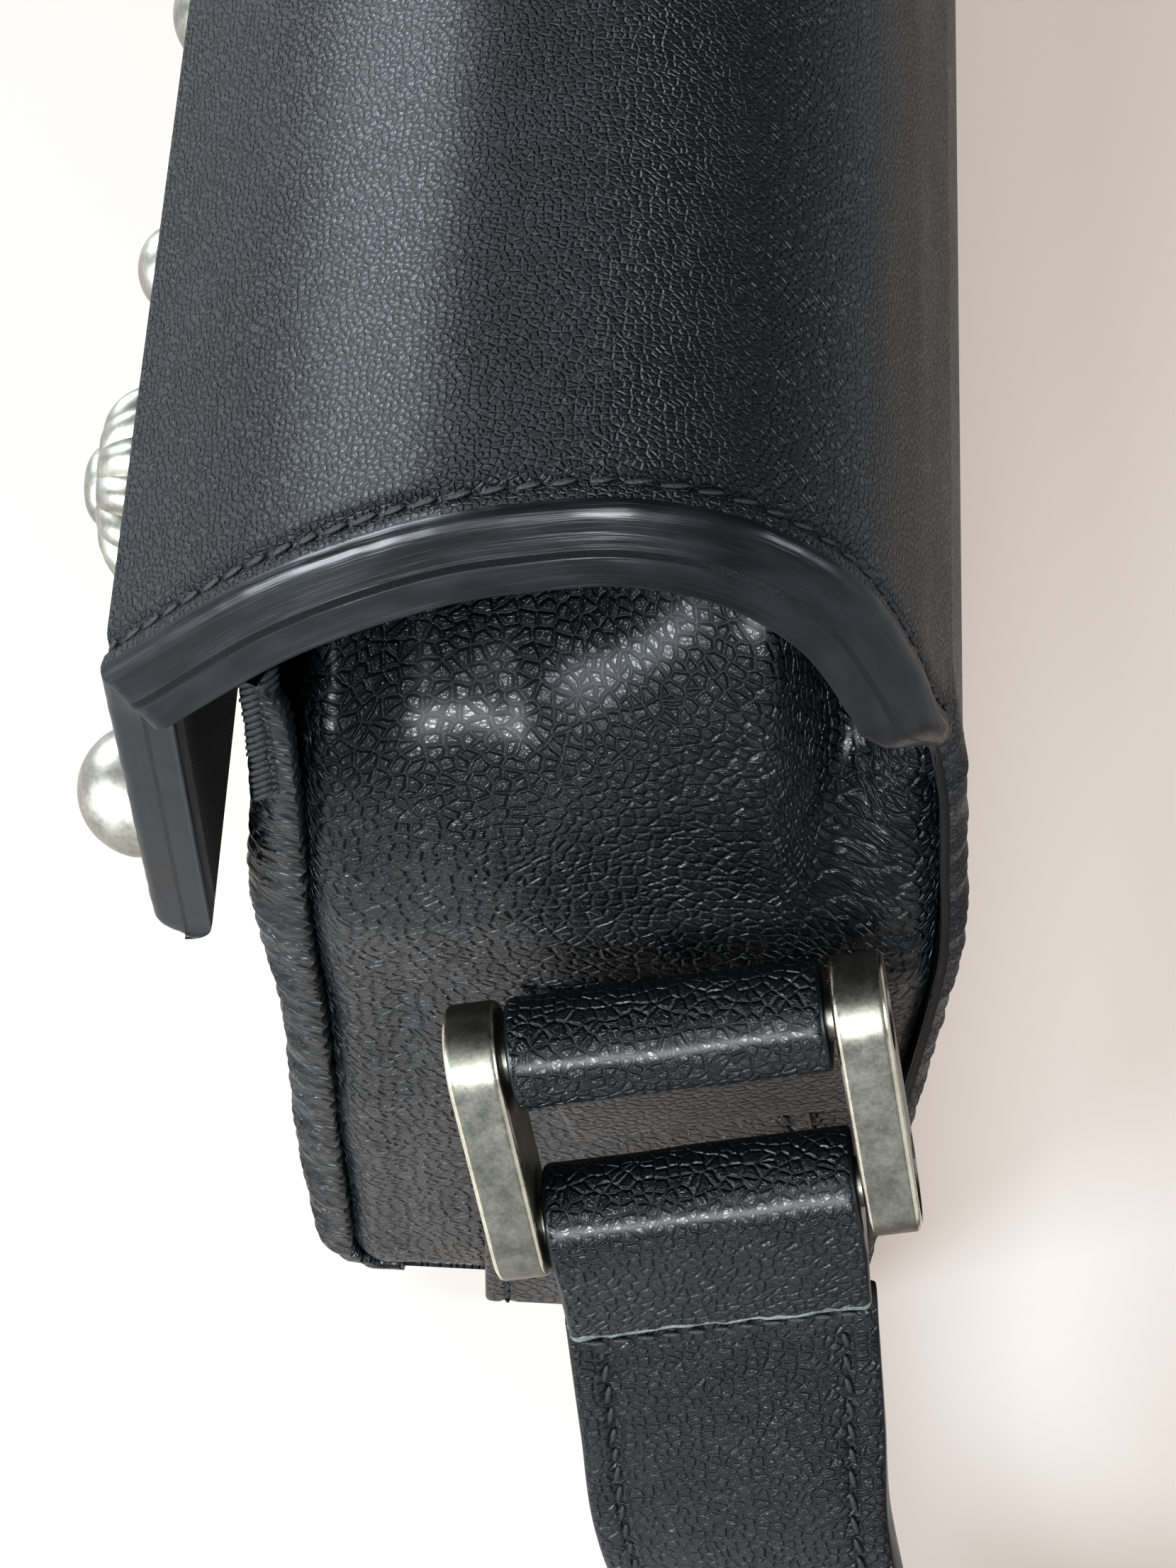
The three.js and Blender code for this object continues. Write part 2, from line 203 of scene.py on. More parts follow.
def respaced(points, count):
    """The polyline's points moved to equal steps of its length."""
    run = np.concatenate([[0], np.cumsum(np.linalg.norm(np.diff(points, axis=0), axis=1))])
    even = np.linspace(0, run[-1], count)
    return np.stack([np.interp(even, run, points[:, k]) for k in range(points.shape[1])], axis=1)


def lengths(points):
    return np.concatenate([[0], np.cumsum(np.linalg.norm(np.diff(points, axis=0), axis=1))])


def ripple(points, scale, seed=0.0):
    """Smooth noise from -1 to 1 at each point, for slow unevenness of a hide."""
    flat = np.asarray(points, float).reshape(-1, 3) * scale
    values = [noise.noise(Vector(p) + Vector((seed, seed, seed))) for p in flat]
    return np.array(values).reshape(np.shape(points)[:-1])


def make(name, points, faces, hide, materials, face_material=None, facing=None):
    """A mesh object from points in millimetres, with the hide's own coordinates on it."""
    mesh = bpy.data.meshes.new(name)
    mesh.from_pydata((np.asarray(points).reshape(-1, 3) * MM).tolist(), [], faces)
    for material in materials:
        mesh.materials.append(material)
    if face_material is not None:
        mesh.polygons.foreach_set("material_index", np.asarray(face_material, np.int32))
    layer = mesh.attributes.new("hide", "FLOAT_VECTOR", "POINT")
    layer.data.foreach_set("vector", np.asarray(hide, np.float32).reshape(-1))
    work = bmesh.new()
    work.from_mesh(mesh)
    bmesh.ops.recalc_face_normals(work, faces=work.faces)
    if facing and sum(face.normal.dot(Vector(facing)) for face in work.faces) < 0:
        bmesh.ops.reverse_faces(work, faces=work.faces)
    work.to_mesh(mesh)
    work.free()
    mesh.polygons.foreach_set("use_smooth", [True] * len(mesh.polygons))
    made = bpy.data.objects.new(name, mesh)
    bpy.context.scene.collection.objects.link(made)
    return made


def grid_faces(rows, columns, wrap=False):
    last = columns if wrap else columns - 1
    return [
        (r * columns + c, r * columns + (c + 1) % columns,
         (r + 1) * columns + (c + 1) % columns, (r + 1) * columns + c)
        for r in range(rows - 1) for c in range(last)
    ]


def thickened(sheet, thickness):
    """The sheet as a closed wall of leather: its second face lies inside it."""
    wall = sheet.modifiers.new("wall", "SOLIDIFY")
    wall.thickness, wall.offset, wall.use_even_offset = thickness * MM, -1, False
    return applied(sheet)


def applied(piece):
    """The piece with its modifiers made part of its mesh."""
    graph = bpy.context.evaluated_depsgraph_get()
    mesh = bpy.data.meshes.new_from_object(piece.evaluated_get(graph))
    piece.modifiers.clear()
    piece.data = mesh
    return piece


def mirrored(piece, name):
    """A copy for the bag's other end."""
    mesh = piece.data.copy()
    mesh.transform(Matrix.Scale(-1, 4, Vector((1, 0, 0))))
    mesh.flip_normals()
    copy = bpy.data.objects.new(name, mesh)
    bpy.context.scene.collection.objects.link(copy)
    return copy


end_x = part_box("gusset_right")[1].x / MM
gusset_run = curve_through(
    [(108, 3.6), (118, 2.9), (124, 3.8), (127.2, 7.5), (end_x, 15), (end_x, 60), (end_x + 0.1, 98),
     (end_x - 0.2, 106), (end_x - 0.8, 114), (end_x - 2.2, 120.5), (end_x - 4.8, 125.6),
     (end_x - 8.2, 129.4), (end_x - 12.4, 132.2), (end_x - 18.5, 135), (end_x - 27, 137.8)], 170,
)
run_slope = np.gradient(gusset_run, axis=0)
run_slope /= np.linalg.norm(run_slope, axis=1, keepdims=True)
run_out = np.stack([run_slope[:, 1], -run_slope[:, 0]], axis=1)
run_length = lengths(gusset_run)
height = gusset_run[:, 1]
corner = np.sqrt(np.clip(1 - ((12 - np.clip(height, 2.9, 12)) / 9.1) ** 2, 0, 1))
front_edge = -19.5 - 8.7 * corner
back_levels = [(0, 31.2), (92, 31.2), (106, 30.4), (118, 29), (131, 27.4), (139, 25.9), (150, 24)]
back_edge = np.interp(height, *np.transpose(back_levels))
back_edge = 21.5 + (back_edge - 21.5) * corner
across = np.linspace(0, 1, 96)
roll = 5.0  # radius of the turn into each side seam
gusset_points = []
for k in range(len(gusset_run)):
    width = back_edge[k] - front_edge[k]
    y = front_edge[k] + across * width
    into_front = np.clip(1 - (y - front_edge[k]) / roll, 0, 1)
    into_back = np.clip(1 - (back_edge[k] - y) / roll, 0, 1)
    drop = 6.0 * (1 - np.sqrt(1 - into_front ** 2.2)) + 4.5 * (1 - np.sqrt(1 - into_back ** 2.2))
    fold = smooth(run_length[k], run_length[-1] - 58, run_length[-1] - 31)
    lift = 1.8 * bell(y, -26, 4) - 1.2 * bell(y, -17, 6)
    lift = lift + 15 * smooth(y, -10, 13) * (1 - smooth(y, 12, 19))
    lift = lift + 5 * smooth(y, 19, 26)
    x = gusset_run[k, 0] - drop * run_out[k, 0] - 4.5 * fold * smooth(y, -12, 14)
    z = height[k] - drop * run_out[k, 1] + lift * fold
    gusset_points.append(np.stack([x, y, z], axis=1))
gusset_points = np.array(gusset_points)
y, z = gusset_points[..., 1], gusset_points[..., 2]
out = np.stack([run_out[:, 0], 0 * height, run_out[:, 1]], axis=1)[:, None, :]
dimple = 5.0 * bell(y, 20.5, 3.4) * bell(z, 134, 8) + 1.4 * bell(y, 21, 2.4) * bell(z, 120, 12)
radial = np.arctan2(z - 130, y - 20.5)
distance = np.hypot(z - 130, y - 20.5)
puckers = 0.34 * np.sin(radial * 19 + 0.6) * bell(distance, 7.5, 4.5)
back_gather = 0.32 * np.sin(z * 3.9 + 1.5 * np.sin(z * 0.41)) * np.clip((y - 22) / 7, 0, 1)
back_gather *= smooth(z, 88, 104) * (1 - smooth(z, 138, 150))
front_gather = 0.3 * np.sin(z * 2.9 + np.sin(z * 0.6)) * np.clip((-21 - y) / 6, 0, 1)
front_gather = front_gather * smooth(z, 100, 118)
slack = 0.9 * ripple(gusset_points, 0.045) + 0.35 * ripple(gusset_points, 0.13, 5)
slack *= 1 - 0.85 * (1 - smooth(z, 94, 106)) * smooth(y, -15, -10) * (1 - smooth(y, 22, 27))
folds = 0.7 * bell(y, 2 + 0.03 * z, 1.6) + 0.55 * bell(y, 19.5 - 0.02 * z, 1.3)
folds = folds + 0.5 * bell(y, -21.5 + 0.03 * z, 1.5)
folds = folds * smooth(z, 14, 34) * (1 - smooth(z, 78, 100))
crease_line = 0.5 * bell(y, 12.5 + 0.02 * (z - 110), 0.9)
crease_line = crease_line * smooth(z, 104, 110) * (1 - smooth(z, 116, 124))
bulge = 0.4 * bell(z, 116, 14) * bell(y, -4, 17)
move = bulge + slack + puckers + back_gather + front_gather - dimple - crease_line - folds
gusset_points = gusset_points + out * move[..., None]


def hide_of(points):
    """Lengths along both ways of a grid, so that the grain isn't stretched by its folds."""
    steps_down = np.linalg.norm(np.diff(points, axis=0), axis=2)
    steps_across = np.linalg.norm(np.diff(points, axis=1), axis=2)
    down = np.vstack([np.zeros((1, points.shape[1])), np.cumsum(steps_down, axis=0)])
    side = np.hstack([np.zeros((points.shape[0], 1)), np.cumsum(steps_across, axis=1)])
    return np.stack([side - side[:, points.shape[1] // 2][:, None], down, 0 * down], axis=-1)


gusset_hide = hide_of(gusset_points)
gusset_right = make("gusset_right_skin", gusset_points, grid_faces(170, 96), gusset_hide,
                    [gusset_leather], facing=(1, 0, 0))
thickened(gusset_right, 1.8)
gusset_left = mirrored(gusset_right, "gusset_left_skin")
for side, skin in (("right", gusset_right), ("left", gusset_left)):
    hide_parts("gusset_" + side)
    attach(skin, "bag")

# ---------------------------------------------------------------------------------------------
# Front panel and base. The front is turned over at the top, runs down and under, and its ends
# are gathered into the gusset seams, so they stand out as short puckered rolls. The base is a
# plain strip between the two corners.
# ---------------------------------------------------------------------------------------------

front_out, top_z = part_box("front_panel")[0].y / MM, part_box("front_panel")[1].z / MM
panel_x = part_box("front_panel")[1].x / MM
base_z, back_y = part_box("back_panel")[0].z / MM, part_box("back_panel")[1].y / MM
corner_r = 9.0
turn = np.radians(np.linspace(180, 275, 18))
hem = [(1.9, -1.2), (1.5, -0.35), (1.0, 0), (0.45, -0.2), (0.1, -0.9)]
front_run = np.vstack([
    np.array(hem) + [front_out, top_z],
    np.stack([np.full(134, front_out), np.linspace(top_z - 2, base_z + corner_r + 1, 134)], axis=1),
    np.stack([front_out + corner_r + corner_r * np.cos(turn),
              base_z + corner_r + corner_r * np.sin(turn)], axis=1),
])


def normals_of(run):
    slope = np.gradient(run, axis=0)
    slope /= np.linalg.norm(slope, axis=1, keepdims=True)
    return np.stack([slope[:, 1], -slope[:, 0]], axis=1)


front_normal, front_length = normals_of(front_run), lengths(front_run)
from_end = np.concatenate([np.linspace(0, 9, 22), np.linspace(11, panel_x, 36)])
columns_x = np.concatenate([panel_x - from_end[:-1], [0], from_end[-2::-1] - panel_x])
inset, h = (panel_x - np.abs(columns_x))[None], front_run[:, 1][:, None]
curl = 3.4
turned_in = 1.15 * curl * (1 - np.sqrt(1 - np.clip(1 - inset / curl, 0, 1) ** 2))
swell = 1.6 * bell(inset, 3.6, 3.2) * (0.25 + bell(h, 100, 17) + 0.5 * bell(h, 42, 26))
gathers = 0.42 * np.sin(h * 2.35 + 1.7 * np.sin(h * 0.37)) * np.clip(1 - inset / 8, 0, 1)
gathers = gathers * (1 - 0.65 * smooth(h, 110, 124))
front_points = np.stack(np.broadcast_arrays(columns_x[None], front_run[:, :1], h), axis=-1)
uneven = 0.55 * ripple(front_points, 0.028, 2) + 0.3 * ripple(front_points, 0.09, 9)
away = swell + gathers + uneven * smooth(inset, 0, 10) - turned_in
away = away * (1 - 0.8 * bell(front_length, 0, 6)[:, None])
front_points[..., 1] += away * front_normal[:, :1]
front_points[..., 2] += away * front_normal[:, 1:]
front_hide = np.stack(np.broadcast_arrays(columns_x[None], front_length[:, None], 0.0), axis=-1)
front_skin = make("front_skin", front_points, grid_faces(*front_points.shape[:2]), front_hide,
                  [gusset_leather], facing=(0, -1, 0))
thickened(front_skin, 1.7)
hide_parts("front_panel")

base_y = np.linspace(front_out + corner_r - 0.4, back_y - corner_r + 0.4, 24)
base_end = panel_x - 0.8
base_x = np.concatenate([np.linspace(0, 4, 9) - base_end, np.linspace(6 - base_end, base_end - 6, 60),
                         base_end - np.linspace(4, 0, 9)])
rise = 2.6 * (1 - np.sqrt(1 - np.clip(1 - (base_end - np.abs(base_x)) / 3, 0, 1) ** 2))
base_points = np.stack(np.broadcast_arrays(base_x[None], base_y[:, None], base_z + rise[None]), axis=-1)
base_points[..., 2] += np.abs(0.3 * ripple(base_points, 0.04, 3))
base_skin = make("base_skin", base_points, grid_faces(24, len(base_x)), base_points + [0, 300, 0],
                 [gusset_leather], facing=(0, 0, -1))
thickened(base_skin, 1.7)
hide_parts("base_panel")
for skin in (front_skin, base_skin):
    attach(skin, "bag")

# ---------------------------------------------------------------------------------------------
# Lining. An open bag of black cotton twill hangs inside the leather, sewn to a leather facing
# behind the front's upper edge; a fibre board lies under it on the base.
# ---------------------------------------------------------------------------------------------


def twill():
    """Woven cotton with its slanting ribs."""
    finish = Finish("black_twill", Roughness=0.9, Sheen_Weight=0.25, Sheen_Roughness=0.5)
    place = finish.place()
    warp = finish.node("ShaderNodeTexWave", {"bands_direction": "DIAGONAL"}, {
        "Vector": place, "Scale": 420, "Distortion": 0.6, "Detail": 1.0,
    }, "Fac")
    weft = finish.node("ShaderNodeTexWave", {"bands_direction": "Z"}, {
        "Vector": place, "Scale": 700, "Distortion": 0.8,
    }, "Fac")
    shade = finish.clouds(place, 40, 3) * 0.5 + warp * 0.3
    return finish.put(
        Base_Color=finish.mix(shade, (0.006, 0.006, 0.007, 1), (0.02, 0.019, 0.02, 1)),
        Normal=finish.bump(warp * 0.7 + weft * 0.3, 0.2, 0.8),
    )


def fibre_board():
    finish = Finish("grey_fibre_board", Roughness=0.85)
    fibre = finish.clouds(finish.place(), 900, 4)
    return finish.put(
        Base_Color=finish.mix(fibre, (0.02, 0.017, 0.014, 1), (0.05, 0.044, 0.036, 1)),
        Normal=finish.bump(fibre, 0.1, 0.5),
    )


lining_low, lining_high = (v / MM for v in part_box("lining"))
bag_floor, bag_mouth = lining_low.z + 0.3, lining_high.z
around, tiers = 160, 40
angle = np.linspace(0, 2 * math.pi, around, endpoint=False)
half_x, half_y = lining_high.x - 0.2, (lining_high.y - lining_low.y) / 2 - 0.2
mid_y = (lining_high.y + lining_low.y) / 2
ring_x = np.sign(np.cos(angle)) * np.abs(np.cos(angle)) ** 0.16 * half_x
ring_y = np.sign(np.sin(angle)) * np.abs(np.sin(angle)) ** 0.16 * half_y
level = np.linspace(0, 1, tiers)[:, None]
lining_z = bag_floor + (bag_mouth - bag_floor) * level
foot = 1 - smooth(level, 0, 0.1)
lining_points = np.stack(np.broadcast_arrays(
    ring_x * (1 - 0.03 * foot - 0.06 * smooth(lining_z, 92, 118)),
    mid_y + ring_y * (1 - 0.1 * foot) - np.where(ring_y > 0, 3.6, 0) * smooth(lining_z, 90, bag_mouth),
    lining_z), axis=-1)
creases = np.abs(ripple(lining_points, 0.05, 12)) * 2.4 * bell(level, 0.5, 0.42)
lining_points[..., 0] -= creases * ring_x / half_x
lining_points[..., 1] -= creases * ring_y / half_y
bottom = [((c + 1) % around, c, tiers * around) for c in range(around)]
lining_points = np.vstack([lining_points.reshape(-1, 3), [(0, mid_y, bag_floor)]])
lining_skin = make("lining_skin", lining_points, grid_faces(tiers, around, wrap=True) + bottom,
                   lining_points, [twill()])
thickened(lining_skin, 0.8)
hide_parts("lining")
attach(lining_skin, "bag")
facing_leather = leather("facing_leather", (0.008, 0.008, 0.009, 1), (0.016, 0.016, 0.017, 1),
                         cell=0.6, depth=0.06, roughness=0.5, seed=12)
for node, finish in (("base_board", fibre_board()), ("front_facing", facing_leather)):
    frame["nodes"][node].data.materials.clear()
    frame["nodes"][node].data.materials.append(finish)

# ---------------------------------------------------------------------------------------------
# Flap and back. One hide makes the back panel, rolls over the mouth as the flap's arch, creases
# along the front and hangs down it. Above the back seam it is stiffened and lined, and its
# thick edge is cut on a slant, sanded and painted in several coats.
# ---------------------------------------------------------------------------------------------


def swept(name, origins, across_axis, face_axis, outer, inner, materials, painted, hide_along=None):
    """A closed strip: each station has an outer and an inner chain of (across, out) points.

    painted says which material a face takes, from its column, half the ring's count and its station.
    """
    chain = np.concatenate([outer, inner[:, ::-1]], axis=1)
    points = (origins[:, None] + across_axis[:, None] * chain[..., :1]
              + face_axis[:, None] * chain[..., 1:])
    stations, ring = chain.shape[:2]
    faces = grid_faces(stations, ring, wrap=True)
    half = ring // 2
    for start in (0, (stations - 1) * ring):
        faces += [(start + c, start + c + 1, start + ring - 2 - c, start + ring - 1 - c)
                  for c in range(half - 1)]
    along = lengths(origins) if hide_along is None else hide_along
    side = np.concatenate([np.zeros(half), np.full(half, 400.0)])
    hide = np.stack(np.broadcast_arrays(chain[..., 0] + side[None], along[:, None], 0.0), axis=-1)
    slots = [painted(c, half, r) for r in range(stations - 1) for c in range(ring)]
    slots += [1] * (2 * (half - 1))  # the strip's two ends
    return make(name, points, faces, hide, materials, slots)


flap_leather = leather(
    "fine_black_leather", (0.0035, 0.004, 0.0055, 1), (0.009, 0.0105, 0.0135, 1),
    cell=0.6, depth=0.26, roughness=0.3, stretch=(1.12, 0.9), seed=31, polish=0.12,
)


def edge_paint():
    """Several coats of glossy paint with lines along the edge where the layers still show."""
    finish = Finish("black_edge_paint", Specular_IOR_Level=0.32, Coat_Weight=0.12, Coat_Roughness=0.18)
    hide = finish.node("ShaderNodeAttribute", {"attribute_name": "hide"}, None, "Vector")
    lines = finish.node("ShaderNodeMapping", None, {"Vector": hide, "Scale": (2.2, 0.03, 1)})
    long = finish.node("ShaderNodeMapping", None, {"Vector": hide, "Scale": (0.9, 0.12, 1)})
    layers = finish.clouds(lines, 1.0, 3.0, 0.6, "2D")
    blot = finish.clouds(long, 1.0, 3.0, dimensions="2D")
    shade = blot.ramp(0.35, 0.7)
    return finish.put(
        Base_Color=finish.mix(shade, (0.003, 0.0034, 0.0045, 1), (0.0075, 0.009, 0.0115, 1)),
        Roughness=blot * 0.2 + layers * 0.12 + 0.2,
        Normal=finish.bump(layers + blot * 0.6, 0.09),
    )


painted_edge = edge_paint()
lining_leather = leather(
    "smooth_lining_leather", (0.009, 0.009, 0.010, 1), (0.018, 0.018, 0.019, 1),
    cell=0.5, depth=0.03, roughness=0.5, seed=77,
)

hinge_y, hinge_z = (v / MM for v in frame["joints"][0]["pos_m"][1:])
flap_low, flap_high = (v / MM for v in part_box("flap_leather"))
front_y, drop_z, crease_z = flap_low.y, flap_low.z, 149.5
turn = np.radians(np.linspace(270, 360, 16))
under_back = np.stack([back_y - corner_r + corner_r * np.cos(turn),
                       base_z + corner_r + corner_r * np.sin(turn)], axis=1)
back_rise = curve_through([under_back[-1], (back_y, 50), (back_y, 92), (back_y - 0.8, 106),
                           (back_y - 2.3, 118), (back_y - 3.9, 131), (hinge_y - 0.2, hinge_z - 0.3)], 90)
arch = curve_through([(hinge_y - 0.3, hinge_z + 0.3), (24.6, 149.7), (22, 157.5), (16.8, 168),
                      (9, 175.2), (0, 177.7), (-8.5, 176.2), (-17.5, 172.3), (-29, 163.4),
                      (front_y, crease_z)], 260)
drop = respaced(np.array([(front_y, crease_z), (front_y, drop_z + 2.6)]), 70)
flap_line = np.vstack([under_back[:-1], back_rise, arch[:-1], drop])
crease_at = len(flap_line) - len(drop)
hinge_at = len(under_back) - 1 + len(back_rise)
step_in, step_out = np.diff(flap_line, axis=0, prepend=np.nan), np.diff(flap_line, axis=0, append=np.nan)
step_in[0], step_out[-1] = step_out[0], step_in[-1]
step_in /= np.linalg.norm(step_in, axis=1, keepdims=True)
step_out /= np.linalg.norm(step_out, axis=1, keepdims=True)
outward = np.stack([(step_in + step_out)[:, 1], -(step_in + step_out)[:, 0]], axis=1)
outward /= np.linalg.norm(outward, axis=1, keepdims=True)
mitre = 1 / np.sum(outward * np.stack([step_in[:, 1], -step_in[:, 0]], axis=1), axis=1)
index = np.arange(len(flap_line))
stiff = smooth(index, hinge_at - 2, hinge_at + 34)  # 0 on the back panel, 1 on the lined flap
flap_length = lengths(flap_line)
hanging = smooth(index, crease_at - 6, crease_at + 10)
thick = 2.0 + 3.3 * stiff
reach = (end_x - 0.4) + (flap_high.x - end_x + 0.4) * smooth(index, hinge_at - 8, hinge_at + 22)
slant = (2.9 - 2.2 * hanging) * stiff
# Half of the outer chain: (distance in from the edge, how far below the surface).
rim_out = [(20, 0), (12, 0), (8, 0), (6, 0), (5, 0), (4.3, 0.02), (3.8, 0.1), (3.4, 0.3), (3.0, 0.36),
           (2.6, 0.3), (2.2, 0.06), (1.7, -0.06), (1.2, -0.14), (0.7, -0.12), (0.3, 0.05), (0.05, 0.3)]
edge_out = [(0.12, 0.14), (0.2, 0.26), (0.3, 0.32), (0.4, 0.42), (0.5, 0.5)]  # shares of slant and depth
edge_in = [(0.62, 0.58), (0.7, 0.66), (0.82, 0.78), (0.94, 0.9), (1.0, 0.96)]
rim_in = [(-0.1, 0.985)]
rim_in += [(a, 1.0) for a in (0.6, 1.4, 2.4, 3.4, 5, 8, 12, 16, 20, 26, 34, 44, 56, 68, 80)]
middle = np.linspace(-100, 100, 41)


def rolled_edge(distance, k):
    """How far the back panel's gathered end has turned in, at a distance from it."""
    turned = 2.2 * (1 - math.sqrt(1 - max(0.0, 1 - distance / 3.0) ** 2))
    pucker = 0.4 * math.sin(flap_length[k] * 2.2 + 1.8 * math.sin(flap_length[k] * 0.3))
    return turned + (pucker - 0.5 * math.exp(-((distance - 3.5) / 3) ** 2)) * max(0.0, 1 - distance / 8)


def flap_chains():
    outer, inner = [], []
    for k in index:
        r, t, s = reach[k], thick[k], slant[k]
        soft = 1 - smooth(k, hinge_at - 6, hinge_at + 10)
        half_out = [(r - a, -(d * (1 - soft) + rolled_edge(a, k) * soft)) for a, d in rim_out]
        half_out += [(r + a * s + 0.1 * (1 - stiff[k]), -max(d * t, 1.9 * soft * min(1, t / 2)))
                     for a, d in edge_out]
        half_in = [(r + a * s + 0.1 * (1 - stiff[k]) * (1 - a), -d * t) for a, d in edge_in]
        half_in += [(r + s * stiff[k] * (a < 2) - a, -d * t) for a, d in rim_in]
        plus_out, plus_in = np.array(half_out), np.array(half_in)[::-1]
        flipped = np.array([-1, 1])
        outer.append(np.vstack([plus_out[::-1] * flipped, [(a, 0) for a in middle], plus_out]))
        need = len(outer[-1]) - 2 * len(plus_in)
        centre = np.linspace(84 - r, r - 84, need)
        inner.append(np.vstack([plus_in[::-1] * flipped, [(a, -t) for a in centre], plus_in]))
    return np.array(outer), np.array(inner)


outer, inner = flap_chains()
tip = np.linspace(0, 1, 9)[1:] * math.pi / 2  # the lower edge is rounded
tip_line = flap_line[-1] + np.stack([0 * tip, -2.6 * np.sin(tip)], axis=1)


def rounded(chain):
    """The chain carried on round the flap's lower edge, closing on the middle of its thickness."""
    (side, depth), centre = chain[-1].T, -thick[-1] / 2
    rows = [np.stack([side, centre + (depth - centre) * math.cos(a)], axis=1) for a in tip]
    return np.concatenate([chain, np.array(rows)])


outer, inner = rounded(outer), rounded(inner)
line = np.vstack([flap_line, tip_line])
faces_out = np.vstack([outward * mitre[:, None], np.repeat([outward[-1]], len(tip), axis=0)])
origins = np.stack([0 * line[:, 0], line[:, 0], line[:, 1]], axis=1)
face_axis = np.stack([0 * line[:, 0], faces_out[:, 0], faces_out[:, 1]], axis=1)
across_axis = np.repeat([[1.0, 0, 0]], len(line), axis=0)
origins_flap, across_flap, face_flap = origins, across_axis, face_axis
reach_all = np.concatenate([reach, np.repeat(reach[-1:], len(tip))])
along = lengths(origins)
worn = ripple(np.stack([along * 0.5, along * 0 + 3, along * 0], axis=1), 0.9)
stiff_all = np.concatenate([stiff, np.ones(len(tip))])
beads = [len(edge_out) + k for k in range(5)]
for column in beads + [-1 - k for k in beads]:
    outer[:, column, 1] += np.where(stiff_all > 0.5, 0.07 * worn, 0)
slow = ripple(np.stack([along * 1.0, along * 0, along * 0], axis=1), 0.03)
outer[:, 8:-8, 1] += (0.25 * slow * stiff_all)[:, None]


def flap_part(column, half, station):
    """0 leather, 1 painted edge, 2 lining, by the column's place in the ring."""
    edge = len(edge_out) + 3
    if station < hinge_at - 1 and column < half:
        return 0
    if column < edge or column > 2 * half - edge - 1 or half - edge - 1 <= column < half + edge:
        return 1
    return 0 if column < half else 2


flap_skin = swept("flap_and_back", origins, across_axis, face_axis, outer, inner,
                  [flap_leather, painted_edge, lining_leather], flap_part)
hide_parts("back_panel", "flap_leather", "flap_stiffener", "flap_lining")
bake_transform(flap_skin)

# ---------------------------------------------------------------------------------------------
# Carrier band. One strip of the same pebbled leather runs from one link's tab down the gusset,
# under the base and up to the other tab, stitched along both sides. It bears the strap's pull.
# ---------------------------------------------------------------------------------------------

band_low, band_high = (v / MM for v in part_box("carrier_band"))
band_x, band_mid, band_half = band_high.x, (band_low.y + band_high.y) / 2, (band_high.y - band_low.y) / 2
bend_r = 3.0


def strap_section(half, thick, row, sunk):
    """A strap's section: soft painted edges, and a row sunk by the stitches along each side."""
    side = [(0, 0.48 * thick), (0, 0.32 * thick), (0.05, 0.4), (0.2, 0.16), (0.5, 0.02), (1.0, -0.06),
            (row - 0.9, -0.05), (row - 0.5, sunk * 0.5), (row, sunk), (row + 0.5, sunk * 0.5),
            (row + 1.2, 0), (row + 3, 0)]
    face = [(a - half, -d) for a, d in side]
    face += [(a, 0) for a in np.linspace(row + 5 - half, half - row - 5, 9)]
    face += [(half - a, -d) for a, d in side[::-1]]
    return np.array(face, float)


def strap_skin(name, origins, across, face, section, thick, materials, start=0.0):
    outer = np.repeat(section[None], len(origins), axis=0)
    along = start + lengths(origins)
    return swept(name, origins, across, face, outer, outer * [1, -1] - [0, thick], materials,
                 lambda c, half, _: int(min(c % half, half - 2 - c % half) < 3), along)


up = np.linspace(band_high.z - 7, bend_r, 60)
bend = np.radians(np.linspace(0, -90, 9))[1:]
half_band = np.vstack([
    np.stack([np.full(60, band_x), up], axis=1),
    np.stack([band_x - bend_r + bend_r * np.cos(bend), bend_r + bend_r * np.sin(bend)], axis=1),
    np.stack([np.linspace(band_x - bend_r - 3, 0, 36), np.zeros(36)], axis=1),
])
band_line = np.vstack([half_band, half_band[-2::-1] * [-1, 1]])
band_out = -normals_of(band_line)
band_origins = np.stack([band_line[:, 0], np.full(len(band_line), band_mid), band_line[:, 1]], axis=1)
band_face = np.stack([band_out[:, 0], 0 * band_out[:, 0], band_out[:, 1]], axis=1)
from_tip = np.minimum(lengths(band_line), lengths(band_line)[-1] - lengths(band_line))[:, None]
band_origins -= band_face * 1.45 * (1 - smooth(from_tip, 2, 16))  # pared thin under the tab
band_across = np.array([[0, 1.0, 0]]) * (0.8 + 0.2 * smooth(from_tip, 10, 40))
band_skin = strap_skin("carrier_band_skin", band_origins, band_across, band_face,
                       strap_section(band_half, 1.5, 2.6, 0.25), 1.5, [gusset_leather, painted_edge])
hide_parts("carrier_band")
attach(band_skin, "bag")

# ---------------------------------------------------------------------------------------------
# Ornaments. Stamped and cast studs in pale satin silver, riveted through the front of the flap:
# fluted conchos, plain domes and small buttons, each on a thin flange.
# ---------------------------------------------------------------------------------------------


def end_caps(rings, count):
    """The faces that close the first and the last ring of a grid."""
    return [tuple(range(count)), tuple(range((rings - 1) * count, rings * count))]


